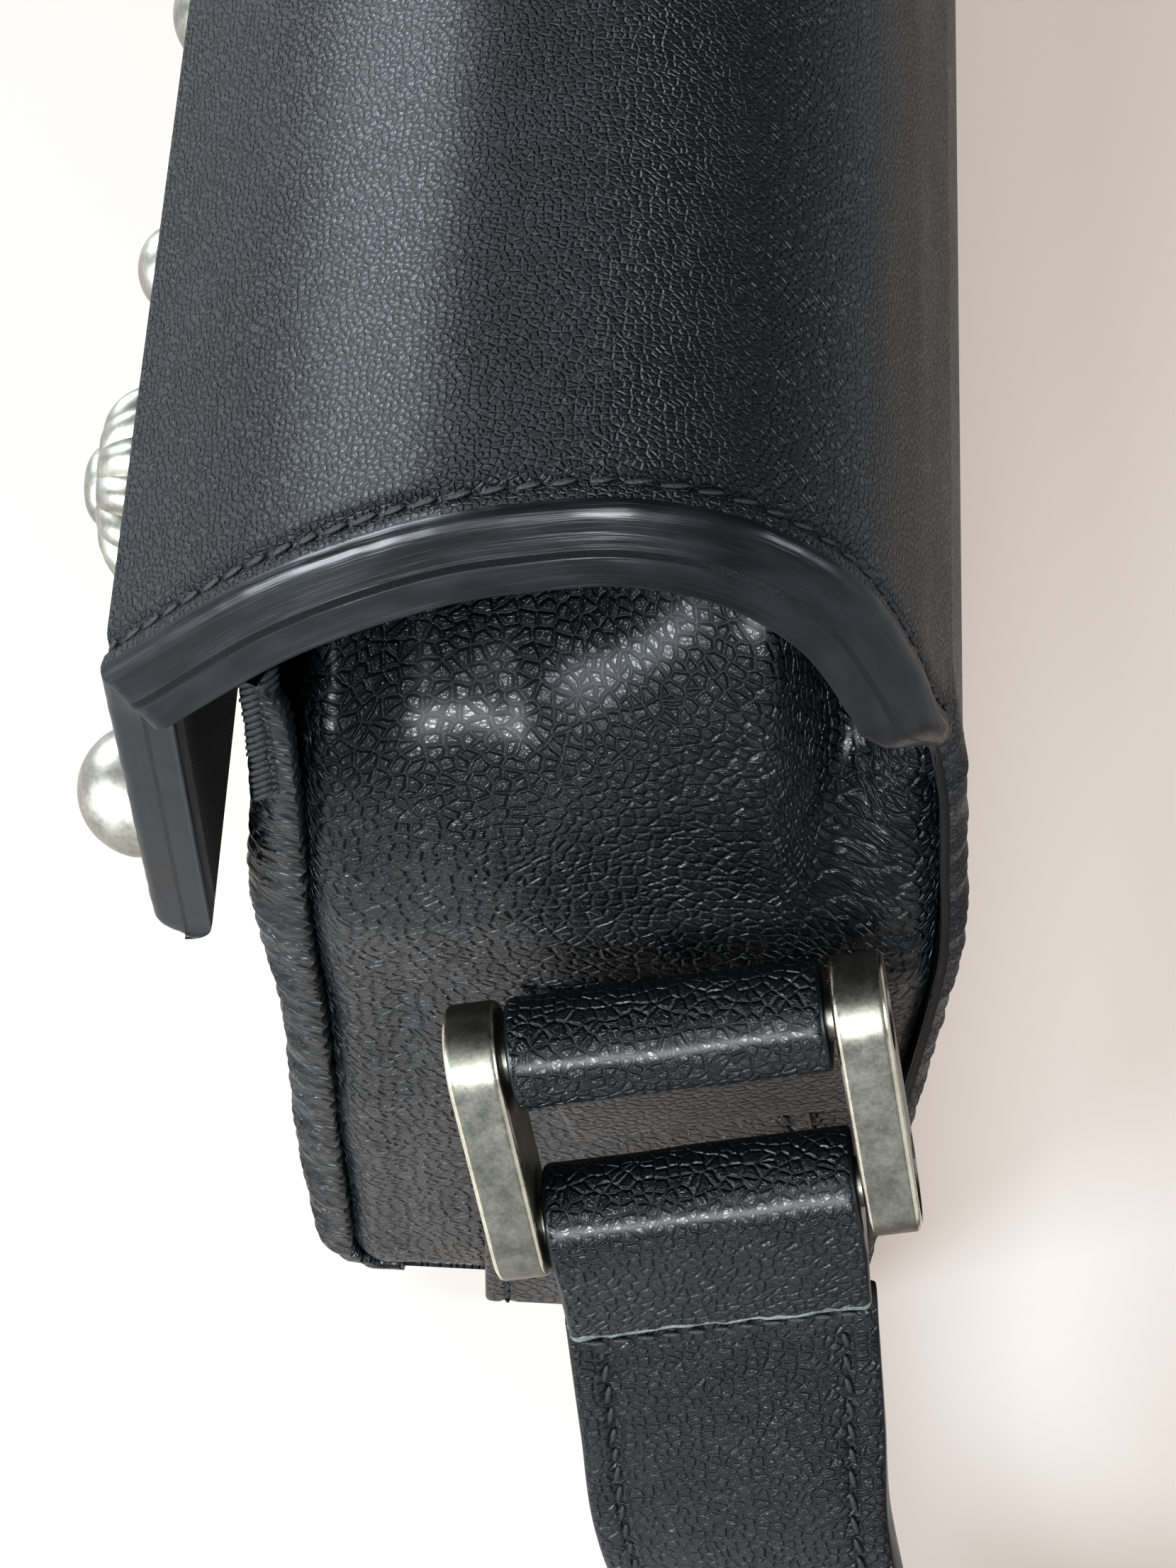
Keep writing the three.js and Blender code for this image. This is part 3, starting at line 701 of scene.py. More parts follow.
def turned(name, profile, segments, materials, flutes=0, fluted=0.0):
    """A closed shape lathed from (radius, height) points about the Y axis, towards -Y."""
    ring = np.linspace(0, 2 * math.pi, segments, endpoint=False)
    largest = max(r for r, _ in profile)
    rows = []
    for r, y in profile:
        lobes = 1 - fluted * (1 - np.abs(np.cos(flutes * ring / 2))) * smooth(r / largest, 0.3, 0.75)
        across, up = r * lobes * np.cos(ring), r * lobes * np.sin(ring)
        rows.append(np.stack([across, np.full(segments, -y), up], axis=1))
    faces = grid_faces(len(profile), segments, wrap=True) + end_caps(len(profile), segments)
    made = make(name, np.array(rows), faces, np.array(rows), materials)
    made.data.set_sharp_from_angle(angle=math.radians(42))
    return made


def plated(name, base, bright, roughness, relief):
    """Plated metal, clouded and finely scratched."""
    finish = Finish(name, Metallic=1.0)
    place = finish.place()
    cloud = finish.clouds(place, 420, 5, 0.65)
    speck = finish.clouds(place, 2600, 3, 0.7)
    stretched = finish.node("ShaderNodeMapping", None, {"Vector": place, "Scale": (1, 0.15, 1)})
    rub = finish.clouds(stretched, 1500)
    return finish.put(
        Base_Color=finish.mix((cloud * 0.75 + speck * 0.35).ramp(0.3, 0.75), base, bright),
        Roughness=cloud * 0.16 + speck * 0.1 + (roughness - 0.13),
        Normal=finish.bump(speck + cloud * 0.6 + rub * 0.3, relief, 0.6),
    )


satin_silver = plated("satin_silver", (0.22, 0.21, 0.18, 1), (0.36, 0.345, 0.305, 1), 0.45, 0.012)


def dome_profile(radius, height):
    arc = np.radians(np.linspace(8, 89.5, 16))
    flange = [(radius * 0.96, 0.0), (radius, 0.12), (radius, 0.3), (radius * 0.985, 0.42)]
    return flange + [(radius * math.cos(a), 0.2 + (height - 0.2) * math.sin(a)) for a in arc]


def concho_profile(radius, height):
    shape = curve_through([(0.985, 0.1), (0.95, 0.3), (0.85, 0.52), (0.7, 0.68), (0.55, 0.74),
                           (0.46, 0.70), (0.4, 0.72), (0.33, 0.86), (0.2, 0.96), (0.004, 1.0)], 34)
    flange = [(radius * 0.97, 0.0), (radius, 0.12), (radius, 0.3)]
    return flange + [(radius * r, 0.3 + (height - 0.3) * y) for r, y in shape]


kinds = {
    "concho": lambda r, d: turned("ornament", concho_profile(r, d), 168, [satin_silver], 14, 0.13),
    "dome": lambda r, d: turned("ornament", dome_profile(r, d), 64, [satin_silver]),
    "button": lambda r, d: turned("ornament", dome_profile(r, d), 48, [satin_silver]),
}
for node in frame["nodes"]:
    kind = node.split("_")[0]
    if kind in kinds:
        low, high = (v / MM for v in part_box(node))
        stud = kinds[kind]((high.z - low.z) / 2, high.y - low.y)
        centre = Vector(((low.x + high.x) / 2, high.y + 0.25, (low.z + high.z) / 2))
        stud.data.transform(Matrix.Translation(centre * MM))
        stud.name = node + "_stud"
        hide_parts(node)
        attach(stud, "flap")

# ---------------------------------------------------------------------------------------------
# Magnetic snap. Two nickel discs with a magnet inside: a socket with a hole on the front panel
# and a plain stud on the flap's lining.
# ---------------------------------------------------------------------------------------------

aged_nickel = plated("aged_nickel", (0.13, 0.13, 0.11, 1), (0.25, 0.245, 0.21, 1), 0.42, 0.02)
rubbed_edge = plated("rubbed_edge", (0.55, 0.5, 0.4, 1), (0.78, 0.72, 0.6, 1), 0.27, 0.01)
for node, profile, body in (
    ("snap_socket", [(0.99, 0), (1, 0.15), (1, 0.8), (0.97, 1), (0.6, 1), (0.42, 0.92), (0.38, 0.8),
                     (0.36, 0.3), (0.01, 0.3)], "bag"),
    ("snap_stud", [(0.98, 0), (1, 0.12), (1, 0.88), (0.98, 1), (0.4, 1), (0.2, 0.98), (0.01, 0.98)],
     "flap"),
):
    low, high = (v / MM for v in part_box(node))
    radius, deep = (high.x - low.x) / 2, high.y - low.y
    snap = turned(node + "_disc", [(radius * r, deep * y) for r, y in profile], 72, [aged_nickel])
    seated_at = Vector(((low.x + high.x) / 2, high.y, (low.z + high.z) / 2))
    snap.data.transform(Matrix.Translation(seated_at * MM))
    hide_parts(node)
    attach(snap, body)

# ---------------------------------------------------------------------------------------------
# Link bars. Flat bars of plated zinc with round ends, aged so that only their rounded edges
# are bright; each has two sunk seats for the slotted screws that close the pins.
# ---------------------------------------------------------------------------------------------

pin_at = np.array([138.0, 6.0, 103.6])
tilt, skew = math.radians(-30), math.radians(12.7)
link_turn = np.array(Matrix.Rotation(tilt, 3, "Y") @ Matrix.Rotation(skew, 3, "X"))
tab_turn = link_turn @ np.array(Matrix.Rotation(-tilt, 3, "Y"))
pitch, bar_r, bar_in, bar_out, seat_r, seat_deep = 19.4, 5.2, 15.0, 19.9, 3.9, 1.45


def stadium(radius, count=28):
    top, low = np.radians(np.linspace(0, 180, count)), np.radians(np.linspace(180, 360, count))
    return np.vstack([np.stack([radius * np.cos(top), radius * np.sin(top)], axis=1),
                      np.stack([radius * np.cos(low), radius * np.sin(low) - pitch], axis=1)])


def cut_away(piece, tool):
    """The piece less the tool, which is used up."""
    cut = piece.modifiers.new("cut", "BOOLEAN")
    cut.operation, cut.object, cut.solver = "DIFFERENCE", tool, "EXACT"
    applied(piece)
    bpy.data.objects.remove(tool)


def bar_mesh():
    bevel = [(0.75, 0.0), (0.42, 0.06), (0.16, 0.22), (0.03, 0.46), (0.0, 0.75)]
    loops = [(a, bar_in + b) for a, b in bevel] + [(a, bar_out - b) for a, b in bevel[::-1]]
    points = np.array([[(x, y, z) for x, z in stadium(bar_r - a)] for a, y in loops])
    ring = points.shape[1]
    faces = grid_faces(len(loops), ring, wrap=True) + end_caps(len(loops), ring)
    bar = make("bar", points, faces, points, [aged_nickel, rubbed_edge])
    for z_here in (0, -pitch):
        seat_ends = [(seat_r, -bar_out - 1), (seat_r, -bar_out + seat_deep)]
        seat = turned("seat", seat_ends, 48, [rubbed_edge])
        seat.data.transform(Matrix.Translation((0, 0, z_here * MM)))
        cut_away(bar, seat)
    for face in bar.data.polygons:
        face.material_index = int(0.12 < abs(face.normal.y) < 0.985)
    bar.data.set_sharp_from_angle(angle=math.radians(42))
    mesh = bar.data
    bpy.data.objects.remove(bar)
    return mesh


def into_place(mesh, name, flip, side, turn=link_turn):
    """The mesh, made in the link's own frame, put at the right or the left end of the bag."""
    own = mesh.copy()
    mirror = Matrix.Diagonal((1, flip, 1, 1))
    seated = Matrix.Translation(Vector(pin_at) * MM) @ Matrix(turn.tolist()).to_4x4()
    own.transform(Matrix.Diagonal((side, 1, 1, 1)) @ seated @ mirror)
    if flip * side < 0:
        own.flip_normals()
    made = bpy.data.objects.new(name, own)
    bpy.context.scene.collection.objects.link(made)
    return made


ends = (("right", 1), ("left", -1))
bar = bar_mesh()
for side, sign in ends:
    for where, flip in (("front", -1), ("back", 1)):
        link_bar = into_place(bar, f"bar_{where}_{side}", flip, sign)
        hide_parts(f"link_bar_{where}_{side}")
        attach(link_bar, "link_" + side)

# ---------------------------------------------------------------------------------------------
# Pins and screws. Each pin is a tapped steel tube; a cheese-head screw with one slot closes it
# from each side and sits sunk in the bar.
# ---------------------------------------------------------------------------------------------

screw = turned("screw", [(3.4, -18.45), (3.6, -18.6), (3.6, -19.2), (3.5, -19.45), (3.2, -19.58),
                         (0.01, -19.62)], 40, [aged_nickel])
slot_corners = [(x, y, z) for x in (-5, 5) for y in (19.1, 21) for z in (-0.45, 0.45)]
slot_faces = [(0, 1, 3, 2), (4, 5, 7, 6), (0, 1, 5, 4), (2, 3, 7, 6), (0, 2, 6, 4), (1, 3, 7, 5)]
cut_away(screw, make("slot", slot_corners, slot_faces, slot_corners, [rubbed_edge]))
screw.data.set_sharp_from_angle(angle=math.radians(42))
pin = turned("pin", [(2.2, -18.3), (2.4, -18.1), (2.4, 18.1), (2.2, 18.3)], 32, [aged_nickel])
for side, sign in ends:
    for level_name, z_here in (("upper", 0.0), ("lower", -pitch)):
        for master, node, flip in ((pin, f"pin_{level_name}_{side}", 1),
                                   (screw, f"screw_{level_name}_front_{side}", -1),
                                   (screw, f"screw_{level_name}_back_{side}", 1)):
            mesh = master.data.copy()
            mesh.transform(Matrix.Translation((0, 0, z_here * MM)))
            piece = into_place(mesh, node + "_turned", flip, sign)
            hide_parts(node)
            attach(piece, "link_" + side)
for master in (screw, pin):
    bpy.data.objects.remove(master)

# ---------------------------------------------------------------------------------------------
# Tab loops. The carrier band's ends are doubled round the upper pins and sewn down, so each
# makes a plump roll of leather with painted ends.
# ---------------------------------------------------------------------------------------------

loop_leather = leather(
    "loop_black_leather", (0.0034, 0.0038, 0.0046, 1), (0.009, 0.0098, 0.012, 1),
    cell=1.15, depth=0.36, roughness=0.26, seed=54, polish=0.2,
)


def rolled(outline, half, materials, z_here=0.0, cut=None, lean=None):
    """Leather folded to a closed outline, with soft edges and flat layered ends."""
    outline = np.asarray(outline, float)
    tangent = np.roll(outline, -1, axis=0) - np.roll(outline, 1, axis=0)
    tangent /= np.linalg.norm(tangent, axis=1, keepdims=True)
    normal = np.stack([tangent[:, 1], -tangent[:, 0]], axis=1)
    ahead = np.roll(outline, -1, axis=0)
    if np.sum(outline[:, 0] * ahead[:, 1] - outline[:, 1] * ahead[:, 0]) < 0:
        normal = -normal
    edge = [(0.0, 0.75), (0.05, 0.45), (0.18, 0.2), (0.42, 0.04), (0.8, -0.03), (1.4, 0.0)]
    chain = [(a - half, d) for a, d in edge]
    chain += [(a, 0.0) for a in np.linspace(2.4 - half, half - 2.4, 30)]
    chain += [(half - a, d) for a, d in edge[::-1]]
    rings = []
    for y_here, sunk in chain:
        flat = outline - normal * sunk
        rings.append(np.stack([flat[:, 0], np.full(len(flat), y_here), flat[:, 1]], axis=1))
    points = np.array(rings)
    bumpy = 0.14 * ripple(points, 0.16, 4)
    points[..., 0] += bumpy * normal[:, 0]
    points[..., 2] += bumpy * normal[:, 1]
    if lean:
        points[..., 1] -= lean(-points[..., 2])
        ragged = 0.45 * ripple(points, 0.35, 21) + 0.25 * ripple(points, 1.3, 22)
        points[:, cut[0] - 1:cut[1] + 1, 2] += ragged[:, cut[0] - 1:cut[1] + 1]
    ring = len(outline)
    slots = []
    for r in range(len(chain) - 1):
        rim = int(r < 3 or r >= len(chain) - 4)
        slots += [2 if cut and cut[0] <= c < cut[1] else rim for c in range(ring)]
    run = lengths(np.vstack([outline, outline[:1]]))[:-1]
    hide = np.stack(np.broadcast_arrays(points[..., 1], run[None], 0.0), axis=-1)
    points[..., 2] += z_here
    faces = grid_faces(len(chain), ring, wrap=True) + end_caps(len(chain), ring)
    made = make("fold", points, faces, hide, materials, slots + [1, 1])
    mesh = made.data
    bpy.data.objects.remove(made)
    return mesh


over = np.radians(np.linspace(180, -54, 40))
tab_outline = np.vstack([
    np.stack([5.2 * np.cos(over), 5.2 * np.sin(over)], axis=1),
    curve_through([(2.3, -5.2), (0.2, -7.2), (-2.2, -9.0), (-3.1, -13)], 12),
    respaced(np.array([(-3.2, -14.0), (-4.3, -33.0)]), 18), [(-4.7, -33.7), (-5.6, -34)],
    respaced(np.array([(-6.3, -33.6), (-5.5, -6.0)]), 24), [(-5.3, -3)],
])
tab = rolled(tab_outline, 14.3, [loop_leather, painted_edge])
for side, sign in ends:
    tab_skin = into_place(tab, f"tab_skin_{side}", 1, sign, tab_turn)
    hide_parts(f"tab_loop_{side}")
    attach(tab_skin, "bag")

# ---------------------------------------------------------------------------------------------
# Shoulder strap. Two layers of pebbled leather sewn back to back; at each end the strap is
# folded round the lower pin, its cut end left raw and stitched down across and along.
# ---------------------------------------------------------------------------------------------


def raw_leather():
    """The cut edge: grey fibres of the hide with dye and glue in them."""
    finish = Finish("raw_cut_leather", Roughness=0.8)
    place = finish.place()
    fibre = finish.clouds(place, 2400, 4, 0.7)
    shade = (fibre * 0.6 + finish.clouds(place, 420) * 0.6).ramp(0.35, 0.85)
    return finish.put(
        Base_Color=finish.mix(shade, (0.04, 0.047, 0.046, 1), (0.19, 0.215, 0.2, 1)),
        Normal=finish.bump(fibre, 0.25),
    )


raw_cut = raw_leather()
strap_half, strap_thick, strap_back, fold_end, sewn_end = 14.5, 4.0, -4.3, 14.5, 18.0
strap_front = strap_back + strap_thick


def strap_lean(below):
    return 0.08 * np.clip(np.asarray(below) - 6, 0, None)


over = np.radians(np.linspace(180, 0, 34))
strap_outline = np.vstack([
    np.stack([5.3 * np.cos(over), 5.3 * np.sin(over)], axis=1),
    curve_through([(5.25, -1.2), (4.8, -4), (3.1, -10), (strap_front + 2.25, 1.3 - fold_end)], 20),
    [(strap_front + 2.15, 0.9 - fold_end), (strap_front + 1.6, 0.35 - fold_end),
     (strap_front + 0.8, -0.1 - fold_end), (strap_front + 0.15, -0.45 - fold_end)],
    [(strap_front, -fold_end - 0.9), (strap_front, 0.4 - sewn_end), (strap_front - 0.3, -sewn_end),
     (strap_back + 0.3, -sewn_end), (strap_back, 0.4 - sewn_end)],
    curve_through([(strap_back, 1.4 - sewn_end), (strap_back, -9), (-4.9, -4), (-5.25, -1.2)], 16),
])
cut_end = (53, 57)  # the outline's points along the raw cut
fold = rolled(strap_outline, strap_half, [loop_leather, painted_edge, raw_cut], -pitch, cut_end,
              strap_lean)
for side, sign in ends:
    strap_fold = into_place(fold, f"strap_fold_{side}", 1, sign)
    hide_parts(f"strap_loop_{side}")
    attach(strap_fold, "strap_end_" + side)


def centripetal(points, count):
    """Evenly spread points on a centripetal Catmull-Rom curve."""
    p = np.array(points, float)
    p = np.vstack([2 * p[0] - p[1], p, 2 * p[-1] - p[-2]])
    knot = np.concatenate([[0], np.cumsum(np.linalg.norm(np.diff(p, axis=0), axis=1) ** 0.5)])
    fine = []
    for i in range(1, len(p) - 2):
        t = np.linspace(knot[i], knot[i + 1], 40, endpoint=False)[:, None]

        def between(a, b, ta, tb):
            return ((tb - t) * a + (t - ta) * b) / (tb - ta)

        first = [between(p[j], p[j + 1], knot[j], knot[j + 1]) for j in (i - 1, i, i + 1)]
        second = [between(first[j], first[j + 1], knot[i - 1 + j], knot[i + 1 + j]) for j in (0, 1)]
        fine.append(between(second[0], second[1], knot[i], knot[i + 1]))
    return respaced(np.vstack(fine + [p[-2:-1]]), count)


def strap_centre(below):
    local = (strap_back + strap_thick / 2, -float(strap_lean(below)), -pitch - below)
    return link_turn @ np.array(local) + pin_at


edge_z = 15.2
falling = [strap_centre(below) for below in (sewn_end - 3.4, sewn_end + 12, sewn_end + 26)] + [
    (175.5, 23.5, 29), (187, 34, 19.5), (197, 50, edge_z), (201, 68, edge_z), (198, 87, edge_z),
    (188, 102, edge_z), (171, 112, edge_z), (148, 116, edge_z), (110, 116, edge_z), (55, 113, edge_z),
    (0, 112, edge_z)]
run = centripetal(falling, 300)
mirror_x = np.array([-1, 1, 1])
full_run = np.vstack([run, run[-2::-1] * mirror_x])
full_length = lengths(full_run)
tangent = np.gradient(full_run, axis=0)
tangent /= np.linalg.norm(tangent, axis=1, keepdims=True)
on_edge = smooth(np.minimum(full_length, full_length[-1] - full_length), 0, 90)[:, None]
pin_axis = link_turn @ np.array([0, 1.0, 0])
far_half = (np.arange(len(full_run)) >= len(run))[:, None]
across = np.where(far_half, pin_axis * mirror_x, pin_axis) * (1 - on_edge)
across = across + np.array([0, 0, 1.0]) * on_edge
across -= tangent * np.sum(across * tangent, axis=1, keepdims=True)
across /= np.linalg.norm(across, axis=1, keepdims=True)
face = np.cross(tangent, across)
strap_origins = full_run + face * strap_thick / 2
section = strap_section(15.0, strap_thick, 3.3, 0.45)


def strap_piece(name, first, last):
    cut = slice(first, last + 1)
    return strap_skin(name, strap_origins[cut], across[cut], face[cut], section, strap_thick,
                      [loop_leather, painted_edge], full_length[first] + 60)


upper_end, lower_end = int(np.searchsorted(full_length, 62)), int(np.searchsorted(full_length, 150))
upper = strap_piece("strap_upper_right", 0, upper_end)
lower = strap_piece("strap_lower_right", upper_end, lower_end)
middle = strap_piece("strap_middle", lower_end, len(full_run) - 1 - lower_end)
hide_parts("shoulder_strap")
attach(middle, "bag")
joints_at = [full_run[k] * MM for k in (1, upper_end, lower_end)]
for side, sign in ends:
    if sign < 0:
        upper, lower = mirrored(upper, "strap_upper_left"), mirrored(lower, "strap_lower_left")
    top, turning, lying = (tuple(p * [sign, 1, 1]) for p in joints_at)
    for piece, start, end, a, b in ((upper, top, turning, f"strap_end_{side}", f"link_{side}"),
                                    (lower, turning, lying, f"link_{side}", "bag")):
        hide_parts("shoulder_strap")
        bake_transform(piece)

# ---------------------------------------------------------------------------------------------
# Stitching. Black bonded thread, sunk in its rows: round the flap's rim, along both sides of
# the strap and the carrier band, across the strap's raw end, and over and over up the seam at
# the mouth's front corners.
# ---------------------------------------------------------------------------------------------


def thread():
    finish = Finish("black_waxed_thread", Roughness=0.55, Specular_IOR_Level=0.4)
    ply = finish.clouds(finish.place(), 3000, 3, 0.7)
    return finish.put(
        Base_Color=finish.mix(ply, (0.004, 0.0045, 0.005, 1), (0.024, 0.026, 0.028, 1)),
        Normal=finish.bump(ply, 0.12),
    )


waxed_thread = thread()


def stitch_tree():
    """Geometry nodes: one bead of thread at each point, turned along the point's own direction."""
    tree = bpy.data.node_groups.new("stitching", "GeometryNodeTree")
    sockets = tree.interface
    sockets.new_socket("Places", in_out="INPUT", socket_type="NodeSocketGeometry")
    for label, value in (("Stitch length", 0.002), ("Thread radius", 0.0003)):
        sockets.new_socket(label, in_out="INPUT", socket_type="NodeSocketFloat").default_value = value
    sockets.new_socket("Seed", in_out="INPUT", socket_type="NodeSocketInt").default_value = 3
    sockets.new_socket("Thread", in_out="INPUT", socket_type="NodeSocketMaterial")
    sockets.new_socket("Stitches", in_out="OUTPUT", socket_type="NodeSocketGeometry")

    def node(kind, settings=None, links=None):
        made = tree.nodes.new(kind)
        for key, value in (settings or {}).items():
            setattr(made, key, value)
        for key, value in (links or {}).items():
            if hasattr(value, "is_output"):
                tree.links.new(value, made.inputs[key])
            else:
                made.inputs[key].default_value = value
        return made

    given = node("NodeGroupInput").outputs
    bead = node("GeometryNodeMeshIcoSphere", None, {"Radius": 1.0, "Subdivisions": 2}).outputs["Mesh"]
    lie = node("GeometryNodeInputNamedAttribute", {"data_type": "FLOAT_VECTOR"}, {"Name": "lie"})
    turn_to = node("FunctionNodeAlignRotationToVector", {"axis": "X"},
                   {"Vector": lie.outputs["Attribute"]})
    vary = node("FunctionNodeRandomValue", {"data_type": "FLOAT"}, {"Seed": given["Seed"]})
    for socket, value in zip([s for s in vary.inputs if s.type == "VALUE" and s.enabled], (0.42, 0.56)):
        socket.default_value = value
    random_value = next(s for s in vary.outputs if s.enabled)
    half = node("ShaderNodeMath", {"operation": "MULTIPLY"},
                {0: given["Stitch length"], 1: random_value})
    size = node("ShaderNodeCombineXYZ", None, {
        "X": half.outputs[0], "Y": given["Thread radius"], "Z": given["Thread radius"],
    })
    spread = node("GeometryNodeInstanceOnPoints", None, {
        "Points": given["Places"], "Instance": bead, "Rotation": turn_to.outputs["Rotation"],
        "Scale": size.outputs["Vector"],
    })
    real = node("GeometryNodeRealizeInstances", None, {"Geometry": spread.outputs["Instances"]})
    shaded = node("GeometryNodeSetShadeSmooth", None, {"Geometry": real.outputs["Geometry"]})
    finish = node("GeometryNodeSetMaterial", None, {
        "Geometry": shaded.outputs["Geometry"], "Material": given["Thread"],
    })
    node("NodeGroupOutput", None, {"Stitches": finish.outputs["Geometry"]})
    return tree


stitching = stitch_tree()


def sewn(name, places, lies, long, radius):
    """A row of stitches at the places, each along its own direction."""
    mesh = bpy.data.meshes.new(name)
    mesh.from_pydata((np.asarray(places) * MM).tolist(), [], [])
    lie = mesh.attributes.new("lie", "FLOAT_VECTOR", "POINT")
    lie.data.foreach_set("vector", np.asarray(lies, np.float32).reshape(-1))
    made = bpy.data.objects.new(name, mesh)
    bpy.context.scene.collection.objects.link(made)
    row = made.modifiers.new("row", "NODES")
    row.node_group = stitching
    values = {
        "Stitch length": long * MM, "Thread radius": radius * MM, "Seed": 3, "Thread": waxed_thread,
    }
    for item in stitching.interface.items_tree:
        if item.item_type == "SOCKET" and item.in_out == "INPUT" and item.name in values:
            row[item.identifier] = values[item.name]
    return applied(made)


def row_on(origins, across, face, offset, sunk, step, slant):
    """Evenly spaced places on a swept strip, offset across it, with the direction of its row."""
    line = origins + across * offset - face * sunk
    count = int(lengths(line)[-1] / step)
    even, even_across = respaced(line, count), respaced_like(line, across, count)
    along = np.gradient(even, axis=0)
    along /= np.linalg.norm(along, axis=1, keepdims=True)
    return even, along + even_across * slant


def respaced_like(line, values, count):
    run = lengths(line)
    even = np.linspace(0, run[-1], count)
    return np.stack([np.interp(even, run, values[:, k]) for k in range(3)], axis=1)


def side_rows(origins, across, face, offset, sunk, step, slant):
    rows = [row_on(origins, across, face, s * offset, sunk, step, s * slant) for s in (-1, 1)]
    return np.vstack([r[0] for r in rows]), np.vstack([r[1] for r in rows])


rim = slice(hinge_at + 6, len(line) - 6)
rim_places, rim_lies = [], []
for s in (-1, 1):
    offset = (reach_all[rim] - 2.9)[:, None] * s
    seat = origins_flap[rim] + across_flap[rim] * offset - face_flap[rim] * 0.25
    count = int(lengths(seat)[-1] / 2.6)
    even = respaced(seat, count)
    rim_places.append(even)
    rim_lies.append(np.gradient(even, axis=0) + [[0.5 * s, 0, 0]])
flap_stitches = sewn("flap_stitches", np.vstack(rim_places), np.vstack(rim_lies), 2.1, 0.25)
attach(flap_stitches, "flap")

band_cut = slice(12, len(band_origins) - 12)
places, lies = side_rows(band_origins[band_cut], band_across[band_cut], band_face[band_cut],
                         band_half - 2.6, 0.12, 2.8, 0.15)
band_stitches = sewn("band_stitches", places, lies, 2.4, 0.26)
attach(band_stitches, "bag")

for label, first, last in (("upper", 1, upper_end), ("lower", upper_end, lower_end),
                           ("middle", lower_end, len(full_run) - 1 - lower_end)):
    cut = slice(first, last + 1)
    places, lies = side_rows(strap_origins[cut], across[cut], face[cut], 15 - 3.3, 0.28, 2.7, 0.22)
    row = sewn(f"strap_stitches_{label}", places, lies, 2.3, 0.32)
    if label == "middle":
        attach(row, "bag")
        continue
    for side, sign in ends:
        own = row if sign > 0 else mirrored(row, f"strap_stitches_{label}_left")
        top, turning, lying = (tuple(p * [sign, 1, 1]) for p in joints_at)
        if label == "upper":
            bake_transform(own)
        else:
            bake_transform(own)

below = fold_end + 1.5
cross_row = np.array([(strap_front + 0.15, y - strap_lean(below), -pitch - below)
                      for y in np.linspace(-12.2, 12.2, 11)])
cross_row = cross_row @ link_turn.T + pin_at
cross_lies = np.repeat([link_turn @ np.array([0.25, 1, 0.12])], len(cross_row), axis=0)
end_stitches = sewn("strap_end_stitches_right", cross_row, cross_lies, 1.9, 0.3)
for side, sign in ends:
    row = end_stitches if sign > 0 else mirrored(end_stitches, "strap_end_stitches_left")
    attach(row, "strap_end_" + side)

up_seam = np.arange(126, top_z - 0.5, 1.15)
corner_places = np.array([(panel_x - 0.3, front_out + 1.1, z) for z in up_seam]
                         + [(panel_x - 0.9, front_out + 2.6, z + 0.4) for z in up_seam])
corner_lies = np.repeat([[-0.35, 1.0, 0.35], [-0.7, 0.6, -0.2]], len(up_seam), axis=0)
corner_right = sewn("corner_stitches_right", corner_places, corner_lies, 2.2, 0.36)
for side, sign in ends:
    row = corner_right if sign > 0 else mirrored(corner_right, "corner_stitches_left")
    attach(row, "bag")

# ---------------------------------------------------------------------------------------------
# Camera, floor and lights. The camera looks steeply down the bag's right end; the floor is pale
# and plain and glows evenly, with a painted pool of warmer, brighter glow close to the bag that the
# bag's lower sides reflect; soft lights stand for windows on the front side and the room behind the
# camera.
# ---------------------------------------------------------------------------------------------

camera = bpy.data.cameras.new("camera")
camera.lens, camera.sensor_width = 74.44, 36.0
eye = bpy.data.objects.new("camera", camera)
right = Vector((-0.0448, 0.9987, 0.0234)).normalized()  # rolled a little, as a hand holds it
look = Vector((-0.4633, 0.0, -0.8862)).normalized()  # 62 degrees down
up = right.cross(look).normalized()
right = look.cross(up).normalized()
eye.matrix_world = Matrix((
    (right.x, up.x, -look.x, 0.25338), (right.y, up.y, -look.y, -0.00242),
    (right.z, up.z, -look.z, 0.37211), (0, 0, 0, 1),
))
bpy.context.scene.collection.objects.link(eye)
bpy.context.scene.camera = eye
bpy.context.scene.view_settings.view_transform = "Standard"
bpy.context.scene.view_settings.gamma = 0.8

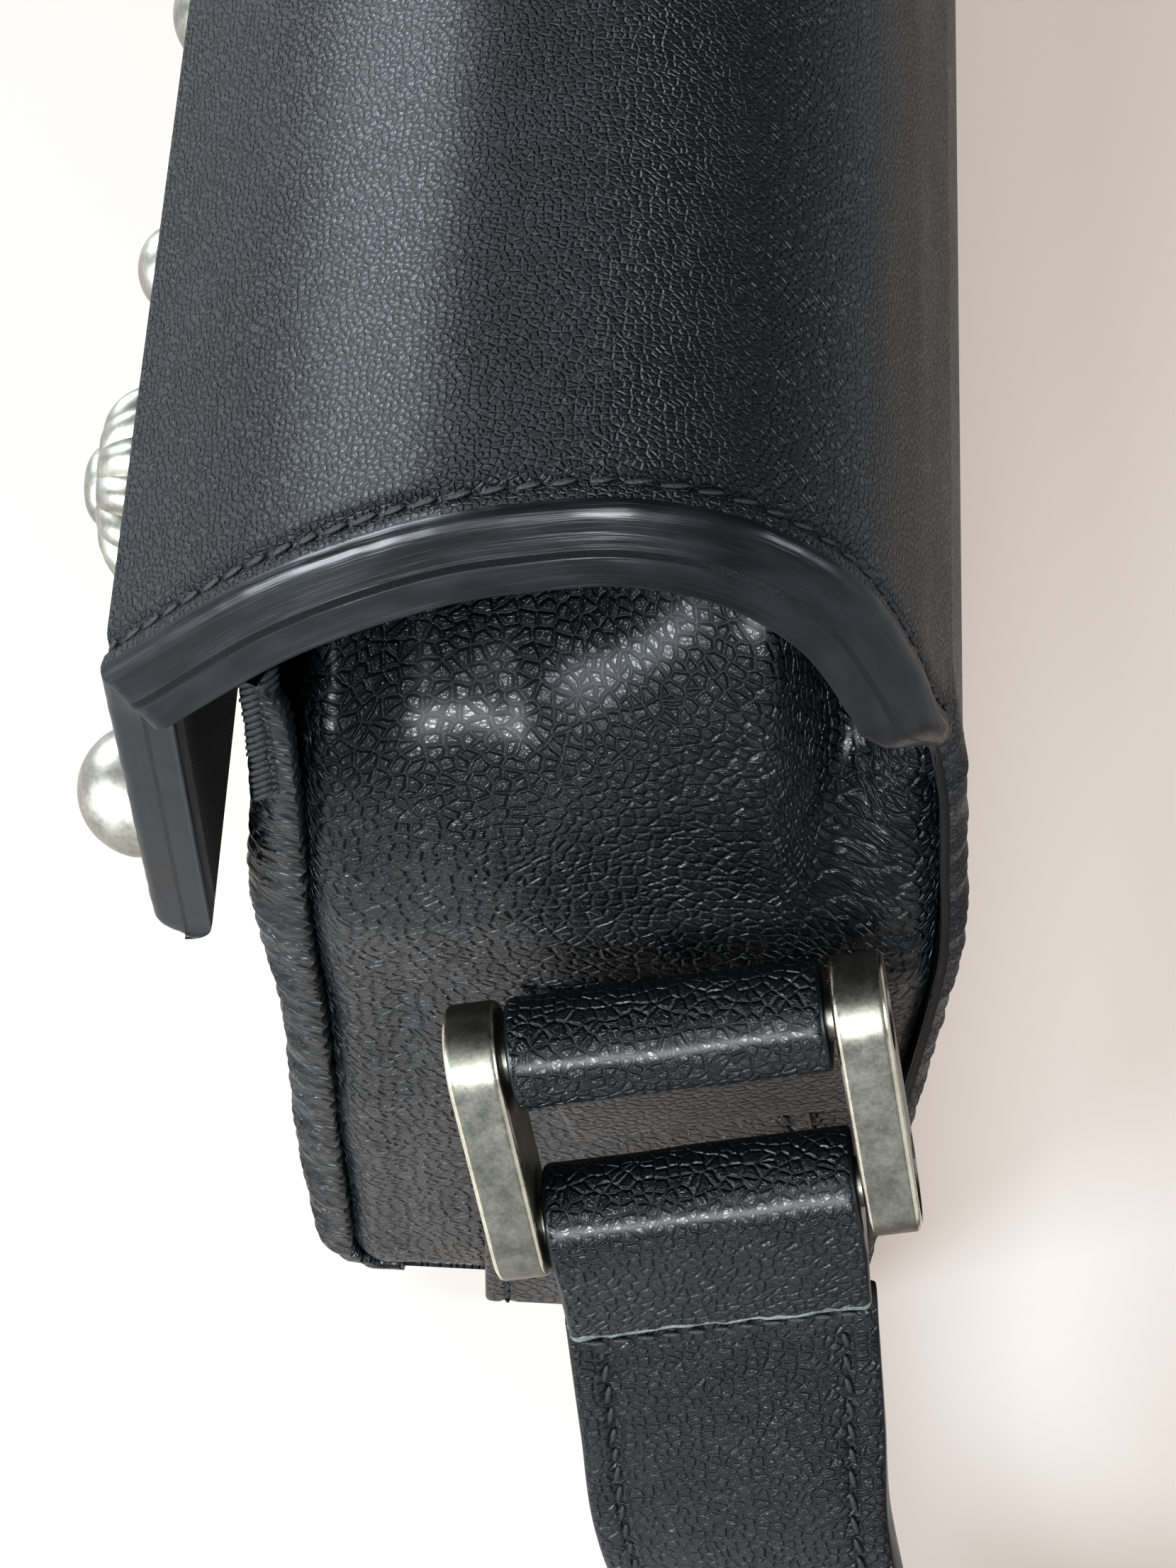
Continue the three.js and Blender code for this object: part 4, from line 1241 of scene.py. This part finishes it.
floor_mesh = bpy.data.meshes.new("floor")
wide = 8  # metres from the middle to each side
floor_mesh.from_pydata([(-wide, -wide, 0), (wide, -wide, 0), (wide, wide, 0), (-wide, wide, 0)], [],
                       [(0, 1, 2, 3)])
floor_glow_finish = Finish("pale_floor_with_glow_pool", Base_Color=(0.3, 0.3, 0.3, 1), Roughness=0.9,
                      Specular_IOR_Level=0.0, Emission_Strength=1.0)
# The floor's own emission: a painted pool of warm light round the bag's middle, fading between 0.15 m
# and 0.36 m into an even pale glow.
away = floor_glow_finish.node("ShaderNodeVectorMath", {"operation": "LENGTH"},
                         {0: floor_glow_finish.place()}, "Value")
floor_mesh.materials.append(floor_glow_finish.put(Emission_Color=floor_glow_finish.mix(
    away.ramp(0.15, 0.36), (0.46, 0.39, 0.33, 1), (0.32, 0.33, 0.34, 1))))
floor = bpy.data.objects.new("floor", floor_mesh)
bpy.context.scene.collection.objects.link(floor)

world = bpy.data.worlds.new("world")
bpy.context.scene.world = world
world.use_nodes = True
world.node_tree.nodes["Background"].inputs["Color"].default_value = (0.95, 0.97, 1.0, 1)
world.node_tree.nodes["Background"].inputs["Strength"].default_value = 0.2


def softbox(name, place, target, size, power, colour):
    light = bpy.data.lights.new(name, "AREA")
    light.shape, light.size, light.size_y = "RECTANGLE", size[0], size[1]
    light.energy, light.color = power, colour
    lamp = bpy.data.objects.new(name, light)
    lamp.location = place
    lamp.rotation_euler = (Vector(target) - Vector(place)).to_track_quat("-Z", "Y").to_euler()
    bpy.context.scene.collection.objects.link(lamp)


softbox("window", (-0.75, -1.05, 0.5), (0.05, 0, 0.14), (0.7, 0.5), 24, (0.84, 0.92, 1.0))
softbox("near_window", (0.72, -1.0, 0.42), (0.12, 0, 0.14), (0.6, 0.4), 30, (0.88, 0.94, 1.0))
softbox("far_side", (0.4, 1.15, 0.55), (0.1, 0, 0.15), (0.4, 0.3), 10, (0.88, 0.94, 1.0))
softbox("room", (1.25, -0.15, 0.82), (0.12, 0, 0.12), (0.45, 0.28), 30, (0.93, 0.97, 1.0))
softbox("overhead", (0.72, -0.08, 1.1), (0.1, 0, 0.1), (0.2, 0.3), 4, (0.95, 0.98, 1.0))
